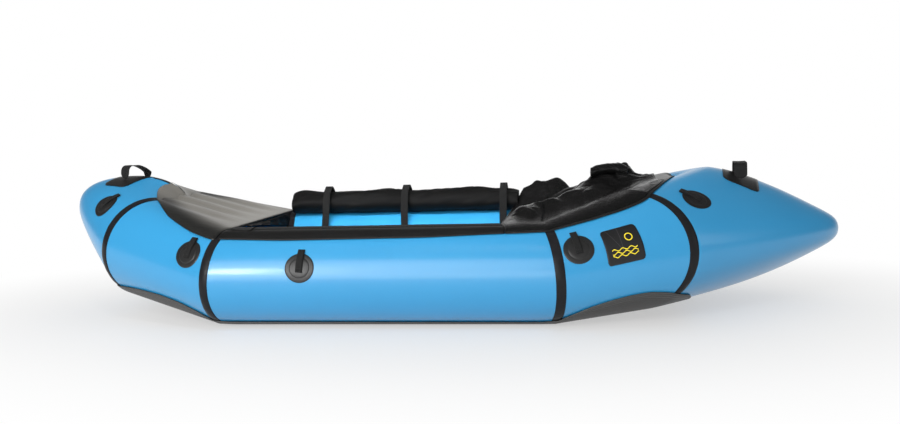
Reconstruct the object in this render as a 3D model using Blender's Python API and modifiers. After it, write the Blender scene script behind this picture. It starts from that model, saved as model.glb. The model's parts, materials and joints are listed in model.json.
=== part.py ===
# A one-person inflatable packraft standing on its floor, with the spray skirt put away.
# Metres. X runs to the bow, Y to port, Z up. The origin is under the middle of the hull, on the ground.
#
# The hull is a ring of inflated tube. Stations count along each side of it, from the stern's centre
# line to the bow's: 0 stern nose, 1 stern cap seam, 2 and 3 the ends of the straight side tube,
# 4 bow cap seam, 5 bow nose. The angle goes round the tube: 0 outboard, 90 up, 180 inboard, 270 down.
import math

import bmesh
import bpy
from mathutils import Vector

for old in list(bpy.data.objects):
    bpy.data.objects.remove(old, do_unlink=True)

# Driving sizes of the hull
half_length = 1.250
side_length = 0.961
side_set_back = 0.1213
side_middle_x = -side_set_back
side_spacing = 0.6098
tube_radius = 0.1423
fabric = 0.0010
seam_gap = 0.0003
sheet_gap = 0.0028
floor_thickness = 0.0018
deck_thickness = 0.0014
rim_thickness = 0.0026
tape_width = 0.028
tape_thickness = 0.0009
tape_gap = 0.0006
patch_thickness = 0.0010
patch_gap = 0.0009
contact_gap = 0.0003

# Seam rings of the caps: middle of the ring, its half sizes, and how it is turned and tilted
stern_ring_x, stern_ring_y, stern_ring_z = -0.9317, 0.1529, 0.2215
stern_ring_half_width, stern_ring_half_height = 0.1573, 0.1583
stern_ring_turn, stern_ring_tilt = -36.9, -11.4
bow_ring_x, bow_ring_y, bow_ring_z = 0.6107, 0.2614, 0.2057
bow_ring_half_width, bow_ring_half_height = 0.1936, 0.1667
bow_ring_turn, bow_ring_tilt = 54.1, -4.3
side_stern_turn, side_stern_tilt = -11.3, -4.2
side_bow_turn, side_bow_tilt = 16.5, 2.9

# Centre-line outlines of the noses: reach ahead of their middle and behind it, crown and keel
stern_nose_z, stern_nose_reach, stern_nose_back = 0.3495, 0.2010, 0.1827
stern_nose_crown, stern_nose_keel = 0.0964, 0.1866
bow_nose_z, bow_nose_reach, bow_nose_back = 0.2332, 0.3884, 0.1800
bow_nose_crown, bow_nose_keel = 0.1974, 0.1806
stern_crown_power, stern_keel_power = 2.46, 1.43
bow_crown_power, bow_keel_power = 1.30, 1.36
# The bow's very tip is blunter than the lines that lead to it
bow_tip_power = 1.80
bow_tip_spread = 20.0
nose_fullness = 1.3
nose_round = 0.15

nose_crowding = 1.5
segments = 28
hull_z = floor_thickness + sheet_gap + tube_radius

collection = bpy.data.collections.new("packraft")
bpy.context.scene.collection.children.link(collection)


def finish_material(name, colour, roughness, metallic=0.0):
    material = bpy.data.materials.new(name)
    material.use_nodes = True
    shader = material.node_tree.nodes["Principled BSDF"]
    shader.inputs["Base Color"].default_value = (*colour, 1.0)
    shader.inputs["Roughness"].default_value = roughness
    shader.inputs["Metallic"].default_value = metallic
    material.diffuse_color = (*colour, 1.0)
    return material


hull_blue = (0.085, 0.400, 0.760)
tape_black = (0.018, 0.018, 0.020)
cloth_black = (0.030, 0.030, 0.032)
deck_grey = (0.120, 0.112, 0.105)
webbing_black = (0.022, 0.022, 0.023)
floor_grey = (0.060, 0.060, 0.062)
valve_black = (0.030, 0.030, 0.032)


# The hull's surface

def signed_power(value, power):
    return math.copysign(abs(value) ** power, value)


def mitred(turn):
    """A round tube's half size across a seam that is turned against it."""
    return tube_radius / math.cos(math.radians(turn))


RINGS = {
    1: (stern_ring_x, stern_ring_y, stern_ring_z, stern_ring_half_width, stern_ring_half_height,
        stern_ring_turn, stern_ring_tilt),
    2: (side_middle_x - side_length / 2, side_spacing / 2, hull_z,
        mitred(side_stern_turn), mitred(side_stern_tilt), side_stern_turn, side_stern_tilt),
    3: (side_middle_x + side_length / 2, side_spacing / 2, hull_z,
        mitred(side_bow_turn), mitred(side_bow_tilt), side_bow_turn, side_bow_tilt),
    4: (bow_ring_x, bow_ring_y, bow_ring_z, bow_ring_half_width, bow_ring_half_height,
        bow_ring_turn, bow_ring_tilt),
}


def ring_point(number, angle):
    """Point of a starboard seam ring at an angle round the tube."""
    x, half_spacing, z, half_width, half_height, turn, tilt = RINGS[number]
    turn, tilt = math.radians(turn), math.radians(tilt)
    along = Vector((math.cos(turn) * math.cos(tilt), math.sin(turn) * math.cos(tilt), math.sin(tilt)))
    outboard = Vector((math.sin(turn), -math.cos(turn), 0))
    up = outboard.cross(along)
    reach = half_width * math.cos(angle)
    return Vector((x, -half_spacing, z)) + outboard * reach + up * (half_height * math.sin(angle))


def nose_point(at_bow, angle):
    """Point of the outline that the nose has on the centre line."""
    across, up = math.cos(angle), math.sin(angle)
    if at_bow:
        middle = half_length - bow_nose_reach
        reach, back, crown, keel = bow_nose_reach, bow_nose_back, bow_nose_crown, bow_nose_keel
        power = bow_crown_power if up > 0 else bow_keel_power
        off_tip = math.degrees(math.asin(max(-1.0, min(1.0, up))))
        power += (bow_tip_power - power) * math.exp(-(off_tip / bow_tip_spread) ** 2)
        height, direction = bow_nose_z, 1
    else:
        middle = stern_nose_reach - half_length
        reach, back, crown, keel = stern_nose_reach, stern_nose_back, stern_nose_crown, stern_nose_keel
        power = stern_crown_power if up > 0 else stern_keel_power
        height, direction = stern_nose_z, -1
    if across <= 0:
        power = 2.0
    length = reach if across > 0 else back
    depth = crown if up > 0 else keel
    return Vector((middle + direction * length * signed_power(across, 2 / power), 0,
                   height + depth * signed_power(up, 2 / power)))


def nose_weight(share):
    """How far a cap has come from the nose's outline to the seam ring, rounded off at the nose."""
    def bend(value):
        return (value * value + nose_round * nose_round) ** (nose_fullness / 2)
    return (bend(share) - bend(0)) / (bend(1) - bend(0))


def hull_point(station, degrees, side=-1):
    """Point of the tube's outside, at a station and an angle; side is -1 starboard, 1 port."""
    angle = math.radians(degrees)
    if station > 5:
        station, side = 10 - station, -side
    if station < 0:
        station, side = -station, -side
    if station >= 4 or station <= 1:
        at_bow = station >= 4
        share = 5 - station if at_bow else station
        seam = ring_point(4 if at_bow else 1, angle)
        nose = nose_point(at_bow, angle)
        point = nose.lerp(seam, nose_weight(share))
        point.y = seam.y * share
    else:
        number = min(int(station), 3)
        point = ring_point(number, angle).lerp(ring_point(number + 1, angle), station - number)
    point.y *= -side
    return point


def hull_frame(station, degrees, side=-1, step=0.004):
    """Point, outward normal, and how the point moves with the station and with the angle."""
    point = hull_point(station, degrees, side)
    ahead, behind = (hull_point(station + way * step, degrees, side) for way in (1, -1))
    along = (ahead - behind) / (2 * step)
    turn = (hull_point(station, degrees + 1, side) - hull_point(station, degrees - 1, side)) / 2
    normal = turn.cross(along).normalized() * side
    return point, normal, along, turn


def off_hull(station, degrees, side, gap):
    point, normal, along, turn = hull_frame(station, degrees, side)
    return point + normal * gap


# Making objects

def new_object(name, points, faces, material):
    mesh = bpy.data.meshes.new(name)
    mesh.from_pydata([tuple(p) for p in points], [], faces)
    mesh.validate()
    mesh.materials.append(material)
    made = bpy.data.objects.new(name, mesh)
    collection.objects.link(made)
    return made


def grid_faces(rows, columns, closed=False):
    last = columns if closed else columns - 1
    return [(r * columns + c, r * columns + (c + 1) % columns,
             (r + 1) * columns + (c + 1) % columns, (r + 1) * columns + c)
            for r in range(rows - 1) for c in range(last)]


def turn_faces(made, outward):
    """Turns all faces over when the middle ones don't look the way that outward says."""
    mesh = made.data
    total = sum(face.normal.dot(outward(face.center)) * face.area for face in mesh.polygons)
    if total < 0:
        mesh.flip_normals()


def face_outward(made):
    """Makes all faces of a closed body look out."""
    shape = bmesh.new()
    shape.from_mesh(made.data)
    bmesh.ops.recalc_face_normals(shape, faces=shape.faces)
    shape.to_mesh(made.data)
    shape.free()


def thicken(made, thickness):
    """Gives a sheet its thickness, on its outer side."""
    solidify = made.modifiers.new("Thickness", "SOLIDIFY")
    solidify.thickness = thickness
    solidify.offset = 1.0
    solidify.use_even_offset = True


def smooth(made, angle=40):
    made.data.shade_smooth()
    made.data.set_sharp_from_angle(angle=math.radians(angle))


def sheet(name, rows, material, thickness, outward, closed=False):
    """A sheet of cloth from rows of points, thickened on its outer side."""
    points = [p for row in rows for p in row]
    made = new_object(name, points, grid_faces(len(rows), len(rows[0]), closed), material)
    turn_faces(made, outward)
    thicken(made, thickness)
    smooth(made)
    return made


def loft(name, rows, material):
    """A closed body from rings of points, with flat ends."""
    columns = len(rows[0])
    points = [p for row in rows for p in row]
    faces = grid_faces(len(rows), columns, closed=True)
    faces.append(tuple(range(columns)))
    faces.append(tuple(range((len(rows) - 1) * columns, len(rows) * columns)))
    made = new_object(name, points, faces, material)
    face_outward(made)
    smooth(made)
    return made


# Hull panels and their tapes

def station_gap(station):
    """Half a seam's gap, counted in stations."""
    length = hull_frame(station, 0)[2].length
    return seam_gap / 2 / length


def hull_panel(name, start, end, spans, side):
    """One panel of the tube, open at both ends: its outside, and back along its inside."""
    first = start + station_gap(start + 0.01)
    last = end - station_gap(end - 0.01)
    shares = [r / spans for r in range(spans + 1)]
    if start == 0:
        shares = [share ** nose_crowding for share in shares]
    if end == 5:
        shares = [1 - (1 - share) ** nose_crowding for share in shares]
    stations = [first + (last - first) * share for share in shares]
    rows = [[off_hull(station, 360 * c / segments, side, depth) for c in range(segments)]
            for depth, order in ((0, stations), (-fabric, reversed(stations))) for station in order]
    wrap = len(rows) * segments
    faces = []
    for number, face in enumerate(grid_faces(len(rows) + 1, segments, closed=True)):
        a, b, c, d = (index % wrap for index in face)
        # Inside and outside are cut along the same diagonals, so that the thin wall stays even
        inside = number >= len(stations) * segments
        faces += [(b, c, d), (b, d, a)] if inside else [(a, b, c), (a, c, d)]
    made = new_object(name, [p for row in rows for p in row], faces,
                      finish_material(name, hull_blue, 0.38))
    face_outward(made)
    smooth(made)
    return made


def seam_tape(name, station, side):
    """A tape of even width across a seam, laid on the panels."""
    rows = [[], [], []]
    for c in range(segments):
        degrees = 360 * c / segments
        for row, way in zip(rows, (-1, 0, 1)):
            length = hull_frame(station + way * 0.01, degrees, side)[2].length
            place = station + way * tape_width / 2 / length
            row.append(off_hull(place, degrees, side, tape_gap))
    ring_middle = sum(rows[1], Vector()) / segments
    return sheet(name, rows, finish_material(name, tape_black, 0.30), tape_thickness,
                 lambda centre: centre - ring_middle, closed=True)


panels = (("stern_cap", 0, 1, 5), ("stern_quarter", 1, 2, 2), ("side_tube", 2, 3, 1),
          ("bow_quarter", 3, 4, 3), ("bow_cap", 4, 5, 6))
seams = (("stern_cap_tape", 1), ("stern_seam_tape", 2), ("bow_seam_tape", 3), ("bow_cap_tape", 4))
for side, side_name in ((-1, "starboard"), (1, "port")):
    for name, start, end, spans in panels:
        hull_panel(f"{name}_{side_name}", start, end, spans, side)
    for name, station in seams:
        seam_tape(f"{name}_{side_name}", station, side)


# Patches shaped to the hull

def on_patch(station, degrees, side, across, up, gap):
    """Point of the hull, moved along it by real lengths from a patch's middle, then off it by gap."""
    point, normal, along, turn = hull_frame(station, degrees, side)
    rise = turn.normalized()
    level = rise.cross(normal) * -side
    wanted = level * across + rise * up
    aa, at, tt = along.dot(along), along.dot(turn), turn.dot(turn)
    wa, wt = wanted.dot(along), wanted.dot(turn)
    scale = aa * tt - at * at
    return off_hull(station + (wa * tt - wt * at) / scale,
                    degrees + (wt * aa - wa * at) / scale, side, gap)


def patch(name, outline, place, material, thickness, gap, rings=3):
    """A patch with an outline given in real lengths round its middle, laid on the hull."""
    station, degrees, side = place
    points = [on_patch(station, degrees, side, 0, 0, gap)]
    count = len(outline)
    for ring in range(1, rings + 1):
        share = ring / rings
        points += [on_patch(station, degrees, side, x * share, y * share, gap) for x, y in outline]
    faces = [(0, 1 + c, 1 + (c + 1) % count) for c in range(count)]
    for ring in range(rings - 1):
        base = 1 + ring * count
        faces += [(base + c, base + count + c, base + count + (c + 1) % count, base + (c + 1) % count)
                  for c in range(count)]
    made = new_object(name, points, faces, material)
    normal = hull_frame(station, degrees, side)[1]
    turn_faces(made, lambda centre: normal)
    thicken(made, thickness)
    smooth(made)
    return made


def strip(name, place, width, bottom, top, steps, material, thickness, gap):
    """A strip that runs up the hull at a patch, from bottom to top, both from the patch's middle."""
    station, degrees, side = place
    rows = []
    for r in range(steps + 1):
        up = bottom + (top - bottom) * r / steps
        rows.append([on_patch(station, degrees, side, width * share, up, gap) for share in (-0.5, 0, 0.5)])
    normal = hull_frame(station, degrees, side)[1]
    return sheet(name, rows, material, thickness, lambda centre: normal)


def circle_outline(radius, count):
    return [(radius * math.cos(2 * math.pi * c / count), radius * math.sin(2 * math.pi * c / count))
            for c in range(count)]


def rounded_outline(width, height, corner, steps=3):
    outline = []
    for quarter, (sx, sy) in enumerate(((1, 1), (-1, 1), (-1, -1), (1, -1))):
        for k in range(steps + 1):
            angle = math.radians(90 * quarter + 90 * k / steps)
            outline.append((sx * (width / 2 - corner) + corner * math.cos(angle),
                            sy * (height / 2 - corner) + corner * math.sin(angle)))
    return outline


def join(made, other):
    """Joins another solid to this one and removes it."""
    union = made.modifiers.new("Join", "BOOLEAN")
    union.operation = "UNION"
    union.object = other
    graph = bpy.context.evaluated_depsgraph_get()
    mesh = bpy.data.meshes.new_from_object(made.evaluated_get(graph))
    made.modifiers.clear()
    made.data = mesh
    bpy.data.objects.remove(other, do_unlink=True)


# Tie-downs: a round patch with flat webbing sewn on, whose upper end stands past the patch
tie_radius = 0.043
webbing_width = 0.020
webbing_thickness = 0.0016
webbing_sink = 0.0009
tie_thickness = 0.0016
webbing_below = 0.014
webbing_past = 0.008
tie_places = (("stern_cap", 0.72, 44.0), ("stern_quarter", 1.825, 29.0), ("side", 2.28, 18.0),
              ("bow_quarter", 3.17, 31.0), ("bow_cap", 4.19, 55.0))
for side, side_name in ((-1, "starboard"), (1, "port")):
    for name, station, degrees in tie_places:
        place = (station, degrees, side)
        material = finish_material(f"tie_down_{name}_{side_name}", tape_black, 0.55)
        tie_down = patch(f"tie_down_{name}_{side_name}", circle_outline(tie_radius, 14), place,
                         material, tie_thickness, patch_gap, rings=2)
        webbing = strip("webbing", place, webbing_width, -webbing_below, tie_radius + webbing_past, 5,
                        material, webbing_thickness, patch_gap + tie_thickness - webbing_sink)
        join(tie_down, webbing)

# Square patch on the starboard bow quarter
side_patch_width = 0.105
side_patch_corner = 0.010
side_patch_place = (3.495, 25.0, -1)
side_patch_columns = (-1, -0.93, -0.80, -0.40, 0, 0.40, 0.80, 0.93, 1)
side_patch_rows = []
for share in side_patch_columns:
    across = side_patch_width / 2 * share
    into = max(0, abs(across) - (side_patch_width / 2 - side_patch_corner))
    reach = side_patch_width / 2 - side_patch_corner + math.sqrt(max(0, side_patch_corner ** 2 - into ** 2))
    side_patch_rows.append([on_patch(*side_patch_place, across, reach * k / 4, patch_gap)
                            for k in range(-4, 5)])
side_patch_normal = hull_frame(*side_patch_place)[1]
sheet("side_patch", side_patch_rows, finish_material("side_patch", (0.012, 0.012, 0.014), 0.45),
      patch_thickness, lambda centre: side_patch_normal)


# Floor and decks: cloth laid round the tubes and stretched from one tube to the other

def edge_angle(table, station):
    """The angle at which a sheet ends on the tube, read between the stations of its table."""
    for (s0, a0), (s1, a1) in zip(table, table[1:]):
        if s0 <= station <= s1:
            return a0 + (a1 - a0) * (station - s0) / (s1 - s0)
    return table[-1][1]


def level_angle(station, low, high):
    """The angle between low and high at which the hull is level athwart, where a taut sheet leaves it."""
    falling = hull_frame(station, low)[1].y
    for _ in range(30):
        middle = (low + high) / 2
        if hull_frame(station, middle)[1].y * falling > 0:
            low = middle
        else:
            high = middle
    return (low + high) / 2


def stretched_row(station, edge, far, wrap_steps, span_steps, gap):
    """A row of points from the edge on the starboard tube, over to the port one."""
    lift_off = level_angle(station, edge, far)
    starboard = [off_hull(station, edge + (lift_off - edge) * k / wrap_steps, -1, gap)
                 for k in range(wrap_steps + 1)]
    port = [Vector((p.x, -p.y, p.z)) for p in reversed(starboard)]
    span = [starboard[-1].lerp(port[0], k / span_steps) for k in range(1, span_steps)]
    return starboard + span + port


floor_edge = ((0.86, -57.0), (1.00, -46.0), (1.15, -41.0), (1.31, -36.5), (1.53, -34.0),
              (1.73, -36.0), (1.90, -45.0), (1.96, -55.0), (2.01, -61.0), (2.98, -64.0), (3.06, -52.0),
              (3.25, -39.0), (3.40, -34.0), (3.56, -31.0), (3.72, -31.0), (3.95, -38.0), (4.11, -49.0),
              (4.20, -60.0), (4.40, -82.0))
floor_stations = (0.86, 0.93, 1.00, 1.08, 1.15, 1.31, 1.53, 1.73, 1.90, 1.96, 2.00, 2.50, 3.00,
                  3.06, 3.14, 3.25, 3.40, 3.56, 3.72, 3.92, 4.00, 4.08, 4.20, 4.40)
floor_rows = [stretched_row(s, edge_angle(floor_edge, s), -150, 4, 2, sheet_gap) for s in floor_stations]
sheet("floor_panel", floor_rows, finish_material("floor_panel", floor_grey, 0.55), floor_thickness,
      lambda centre: Vector((0, 0, -1)))

def cap_place(at_bow, x, y):
    """Station and angle at which a cap's crown has a given x and y; both sides count from starboard."""
    low, high = 20.0, 160.0
    for _ in range(40):
        degrees = (low + high) / 2
        share = y / abs(ring_point(4 if at_bow else 1, math.radians(degrees)).y)
        station = 5 + share if at_bow else -share
        beyond = hull_point(station, degrees).x > x
        if beyond == at_bow:
            low = degrees
        else:
            high = degrees
    return station, degrees


# The rear deck lies over the stern cap's crown, and has soft ripples that fade at its ends
rear_edge = ((0.78, 104.0), (0.97, 97.0), (1.15, 85.0), (1.41, 67.0), (1.60, 60.0),
             (1.73, 56.0), (1.85, 55.0), (1.99, 55.0))
rear_stations = (0.78, 0.84, 0.91, 1.00, 1.04, 1.08, 1.15, 1.28, 1.41, 1.60, 1.73, 1.85, 1.99)
inboard_limit = 160.0
ripple_height = 0.0035
ripple_spacing = 0.125
rear_span = 12
crown_wrap = 5.0
stern_nose_inner_x = stern_nose_reach - half_length + stern_nose_back
rear_rows = []
for station in rear_stations:
    edge = edge_angle(rear_edge, station)
    limit = inboard_limit if station >= 1 else edge + crown_wrap
    row = stretched_row(station, edge, limit, 4, rear_span, sheet_gap)
    fade = math.sin(math.pi * (station - rear_stations[0]) / (rear_stations[-1] - rear_stations[0]))
    for k in range(1, rear_span):
        share = math.sin(math.pi * k / rear_span)
        ripple = math.cos(2 * math.pi * row[4 + k].y / ripple_spacing + 1.2)
        row[4 + k].z += ripple_height * ripple * fade * share
        if row[4 + k].x < stern_nose_inner_x:
            crown = off_hull(*cap_place(False, row[4 + k].x, row[4 + k].y), -1, sheet_gap)
            if crown.z > row[4 + k].z:
                row[4 + k] = crown
    rear_rows.append(row)
upward = Vector((0, 0, 1))
sheet("rear_deck", rear_rows, finish_material("rear_deck", deck_grey, 0.50), deck_thickness,
      lambda centre: upward)

# The front deck covers the foot space, from the cockpit's front edge to the bow cap
front_edge = ((2.87, 62.0), (3.04, 66.0), (3.18, 63.0), (3.35, 62.0), (3.62, 63.0), (3.82, 66.0),
              (3.94, 70.0), (4.02, 76.0), (4.15, 82.0), (4.36, 94.0), (4.42, 96.0))
front_stations = (2.87, 2.96, 3.05, 3.15, 3.25, 3.35, 3.45, 3.55, 3.65, 3.75, 3.85, 3.94, 4.00, 4.05,
                  4.11, 4.19, 4.42)
front_span = 12
front_wrap = 3
front_rows = []
for station in front_stations:
    edge = edge_angle(front_edge, station)
    front_rows.append(stretched_row(station, edge, inboard_limit, front_wrap, front_span, sheet_gap))
sheet("front_deck", front_rows, finish_material("front_deck", cloth_black, 0.40), deck_thickness,
      lambda centre: upward)

# Deck rim: the band with the hook strip, on the top of each side tube
rim_edge = ((2.004, 58.0), (2.20, 54.0), (2.42, 55.0), (2.64, 56.0), (2.866, 61.0))
rim_top = 93.0
rim_steps = 6
rim_gap = tape_gap + tape_thickness + 2 * contact_gap
for side, side_name in ((-1, "starboard"), (1, "port")):
    rim_rows = [[off_hull(station, edge + (rim_top - edge) * k / rim_steps, side, rim_gap)
                 for k in range(rim_steps + 1)] for station, edge in rim_edge]
    sheet(f"deck_rim_{side_name}", rim_rows, finish_material(f"deck_rim_{side_name}", cloth_black, 0.70),
          rim_thickness, lambda centre: upward)

rim_tab_length, rim_tab_width, rim_tab_thickness = 0.066, 0.034, 0.0030
rim_tab_corner = 0.003
rim_tab_place = (2.055, 82.0, -1)
patch("rim_tab", rounded_outline(rim_tab_length, rim_tab_width, rim_tab_corner), rim_tab_place,
      finish_material("rim_tab", cloth_black, 0.75), rim_tab_thickness,
      rim_gap + rim_thickness + patch_gap)


# The spray skirt, rolled on top of the port tube
roll_inset = 0.033
roll_depth = 0.040
roll_height = 0.046
roll_clear = 0.012
roll_angle = 105.0
roll_rows_count = 22
roll_sides = 14
front_deck_start = 2.87
side_stern_x = side_middle_x - side_length / 2
roll_start_x = side_stern_x + roll_inset
roll_end_x = side_stern_x + side_length * (front_deck_start - 2) - roll_clear
port_tube = Vector((0, side_spacing / 2, hull_z))


def port_tube_point(degrees, radius):
    """A point round the port tube's axis, by the hull's angles."""
    angle = math.radians(degrees)
    return Vector((0, port_tube.y + radius * math.cos(angle), port_tube.z + radius * math.sin(angle)))


def roll_section(depth, height, count):
    """Outline of the roll: an oval that lies against the tube."""
    angle = math.radians(roll_angle)
    away = Vector((0, math.cos(angle), math.sin(angle)))
    along = Vector((0, -math.sin(angle), math.cos(angle)))
    middle = port_tube_point(roll_angle, tube_radius + 2 * contact_gap + roll_depth)
    return [middle + away * (depth * math.cos(2 * math.pi * k / count))
            + along * (height * math.sin(2 * math.pi * k / count)) for k in range(count)]


strap_shares = (0.168, 0.472, 0.833)
strap_places = [side_stern_x + side_length * share for share in strap_shares]
strap_width = 0.025
strap_thickness = 0.0015
strap_pinch_share = 0.10
roll_fold_share = 0.05
roll_fold_count = 9.0
roll_rows = []
for r in range(roll_rows_count + 1):
    x = roll_start_x + (roll_end_x - roll_start_x) * r / roll_rows_count
    pinch = max(math.exp(-((x - place) / (2 * strap_width)) ** 2) for place in strap_places)
    row = []
    for k, point in enumerate(roll_section(roll_depth, roll_height, roll_sides)):
        turn = 2 * math.pi * k / roll_sides
        fold = roll_fold_share * (1 + math.sin(math.pi * roll_fold_count * r / roll_rows_count + 2 * turn))
        middle = port_tube_point(roll_angle, tube_radius + 2 * contact_gap + roll_depth)
        against = max(0, -math.cos(turn))
        point = middle + (point - middle) * (1 - (fold + strap_pinch_share * pinch) * (1 - against))
        row.append(Vector((x, point.y, point.z)))
    roll_rows.append(row)
loft("spray_skirt_roll", roll_rows, finish_material("spray_skirt_roll", cloth_black, 0.60))


def convex_outline(points):
    """The convex outline round points of the YZ plane, in order."""
    def turn(a, b, c):
        return (b.y - a.y) * (c.z - a.z) - (b.z - a.z) * (c.y - a.y)
    ordered = sorted(points, key=lambda p: (p.y, p.z))
    chains = []
    for group in (ordered, ordered[::-1]):
        chain = []
        for p in group:
            while len(chain) > 1 and turn(chain[-2], chain[-1], p) <= 0:
                chain.pop()
            chain.append(p)
        chains.append(chain[:-1])
    return chains[0] + chains[1]


# Straps: from the rim over the roll and down the tube's inboard wall
strap_gap = 0.0010
strap_tail_angle = 196.0
strap_start_angle = 86.0
strap_lay = rim_gap + rim_thickness + 1.5 * contact_gap


def strap_path():
    tube = [port_tube_point(a, tube_radius + strap_lay)
            for a in range(int(strap_start_angle), int(strap_tail_angle) + 1, 5)]
    roll = roll_section(roll_depth + strap_gap, roll_height + strap_gap, 2 * roll_sides)
    outline = convex_outline(tube + roll)
    start, end = tube[0], tube[-1]
    begin = min(range(len(outline)), key=lambda k: (outline[k] - start).length)
    ordered = outline[begin:] + outline[:begin]
    finish = min(range(len(ordered)), key=lambda k: (ordered[k] - end).length)
    return ordered[:finish + 1]


for number, x in enumerate(strap_places, 1):
    rows = [[Vector((x + way * strap_width / 2, p.y, p.z)) for way in (-1, 1)] for p in strap_path()]
    sheet(f"roll_strap_{number}", rows, finish_material(f"roll_strap_{number}", webbing_black, 0.65),
          strap_thickness, lambda centre: centre - Vector((centre.x, port_tube.y, port_tube.z)))


# The skirt's front part, bunched on the front deck: ridges of cloth, each from one point to another
bunch_least = 0.004
bunch_slope = 1.15
bunch_peak = 0.103
bunch_spread = 0.050
# Each ridge as shares: from and to, along the half length and across half the tubes' spacing, then
# its heights at both ends as shares of the peak, and its half width as a share of the spread
bunch_ridge_shares = (
    ((0.176, -0.80), (0.352, -0.25), 0.20, 0.60, 1.0),
    ((0.352, -0.25), (0.464, 0.25), 0.60, 1.00, 1.1),
    ((0.392, -0.37), (0.448, 0.18), 0.30, 0.60, 0.7),
    ((0.250, 0.86), (0.330, 0.84), 0.80, 0.98, 0.9),
    ((0.320, 0.49), (0.384, 0.18), 0.30, 0.52, 0.9),
    ((0.432, 0.15), (0.528, 0.00), 0.60, 0.14, 1.0),
)
fold_height = 0.006
fold_count = 17.0
fold_length = 0.210
fold_fade = 0.030
bunch_stations = front_stations[:14]


def bunch_height(x, y):
    total = 0.0
    for start, end, low, high, width in bunch_ridge_shares:
        start = Vector((start[0] * half_length, start[1] * side_spacing / 2))
        run = Vector((end[0] * half_length, end[1] * side_spacing / 2)) - start
        share = min(1, max(0, (Vector((x, y)) - start).dot(run) / run.dot(run)))
        away = (Vector((x, y)) - start - run * share).length / (width * bunch_spread)
        total = max(total, bunch_peak * (low + (high - low) * share) * math.exp(-away ** 2))
    turn = math.atan2(y, bow_ring_x + bow_ring_half_width - x)
    fold = fold_height * math.sin(fold_count * turn + 2 * math.pi * x / fold_length)
    fold *= min(1, total / fold_fade)
    return bunch_least + max(0, total + fold)


bunch_bottom, bunch_top = [], []
for station in bunch_stations:
    edge = edge_angle(front_edge, station)
    row = stretched_row(station, edge, inboard_limit, front_wrap, front_span, sheet_gap)
    lift = bunch_slope * deck_thickness + contact_gap
    inner = row[front_wrap - 1:len(row) - front_wrap + 1]
    bunch_bottom.append([p + upward * lift for p in inner])
    bunch_top.append([p + upward * (lift + bunch_height(p.x, p.y)) for p in inner])
columns = len(bunch_bottom[0])
rows_count = len(bunch_bottom)
bunch_points = [p for row in bunch_bottom + bunch_top for p in row]
top_start = rows_count * columns
lower = grid_faces(rows_count, columns)
upper = [tuple(index + top_start for index in reversed(face)) for face in lower]
rim_loop = ([c for c in range(columns)] + [r * columns + columns - 1 for r in range(1, rows_count)]
            + [(rows_count - 1) * columns + c for c in range(columns - 2, -1, -1)]
            + [r * columns for r in range(rows_count - 2, 0, -1)])
walls = [(rim_loop[k], rim_loop[(k + 1) % len(rim_loop)], rim_loop[(k + 1) % len(rim_loop)] + top_start,
          rim_loop[k] + top_start) for k in range(len(rim_loop))]
bunch = new_object("spray_skirt_bunch", bunch_points, lower + upper + walls,
                   finish_material("spray_skirt_bunch", cloth_black, 0.28))
face_outward(bunch)
smooth(bunch, 60)


# Grab loops: an arch of wide webbing that flops fore and aft, its rounded feet on a patch
grab_width = 0.038
grab_thickness = 0.0022
grab_height = 0.035
grab_hinge = 0.010
grab_corner = 0.020
bow_grab_inset, bow_grab_span, bow_grab_turn = 0.294, 0.150, 8.0
stern_grab_inset, stern_grab_span, stern_grab_turn = 0.205, 0.118, 22.0
grab_patch_length = 0.104
bow_patch_width, stern_patch_width = 0.230, 0.200
grab_patch_corner = 0.022
grab_patch_columns = (-1, -0.93, -0.80, -0.60, -0.42, -0.28, -0.14, 0, 0.14, 0.28, 0.42, 0.60, 0.80,
                      0.93, 1)


def leg_ground(at_bow, axis_point, across, gap):
    """Points of the surface round a leg's foot, in the plane in which the leg swings."""
    found = []
    for step in range(-6, 7):
        x = axis_point.x + grab_width * step / 6
        y = axis_point.y
        for _ in range(4):
            p = off_hull(*cap_place(at_bow, x, y), -1, gap)
            y -= (p - axis_point).dot(across) / across.y
        found.append(p)
    return found


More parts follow.
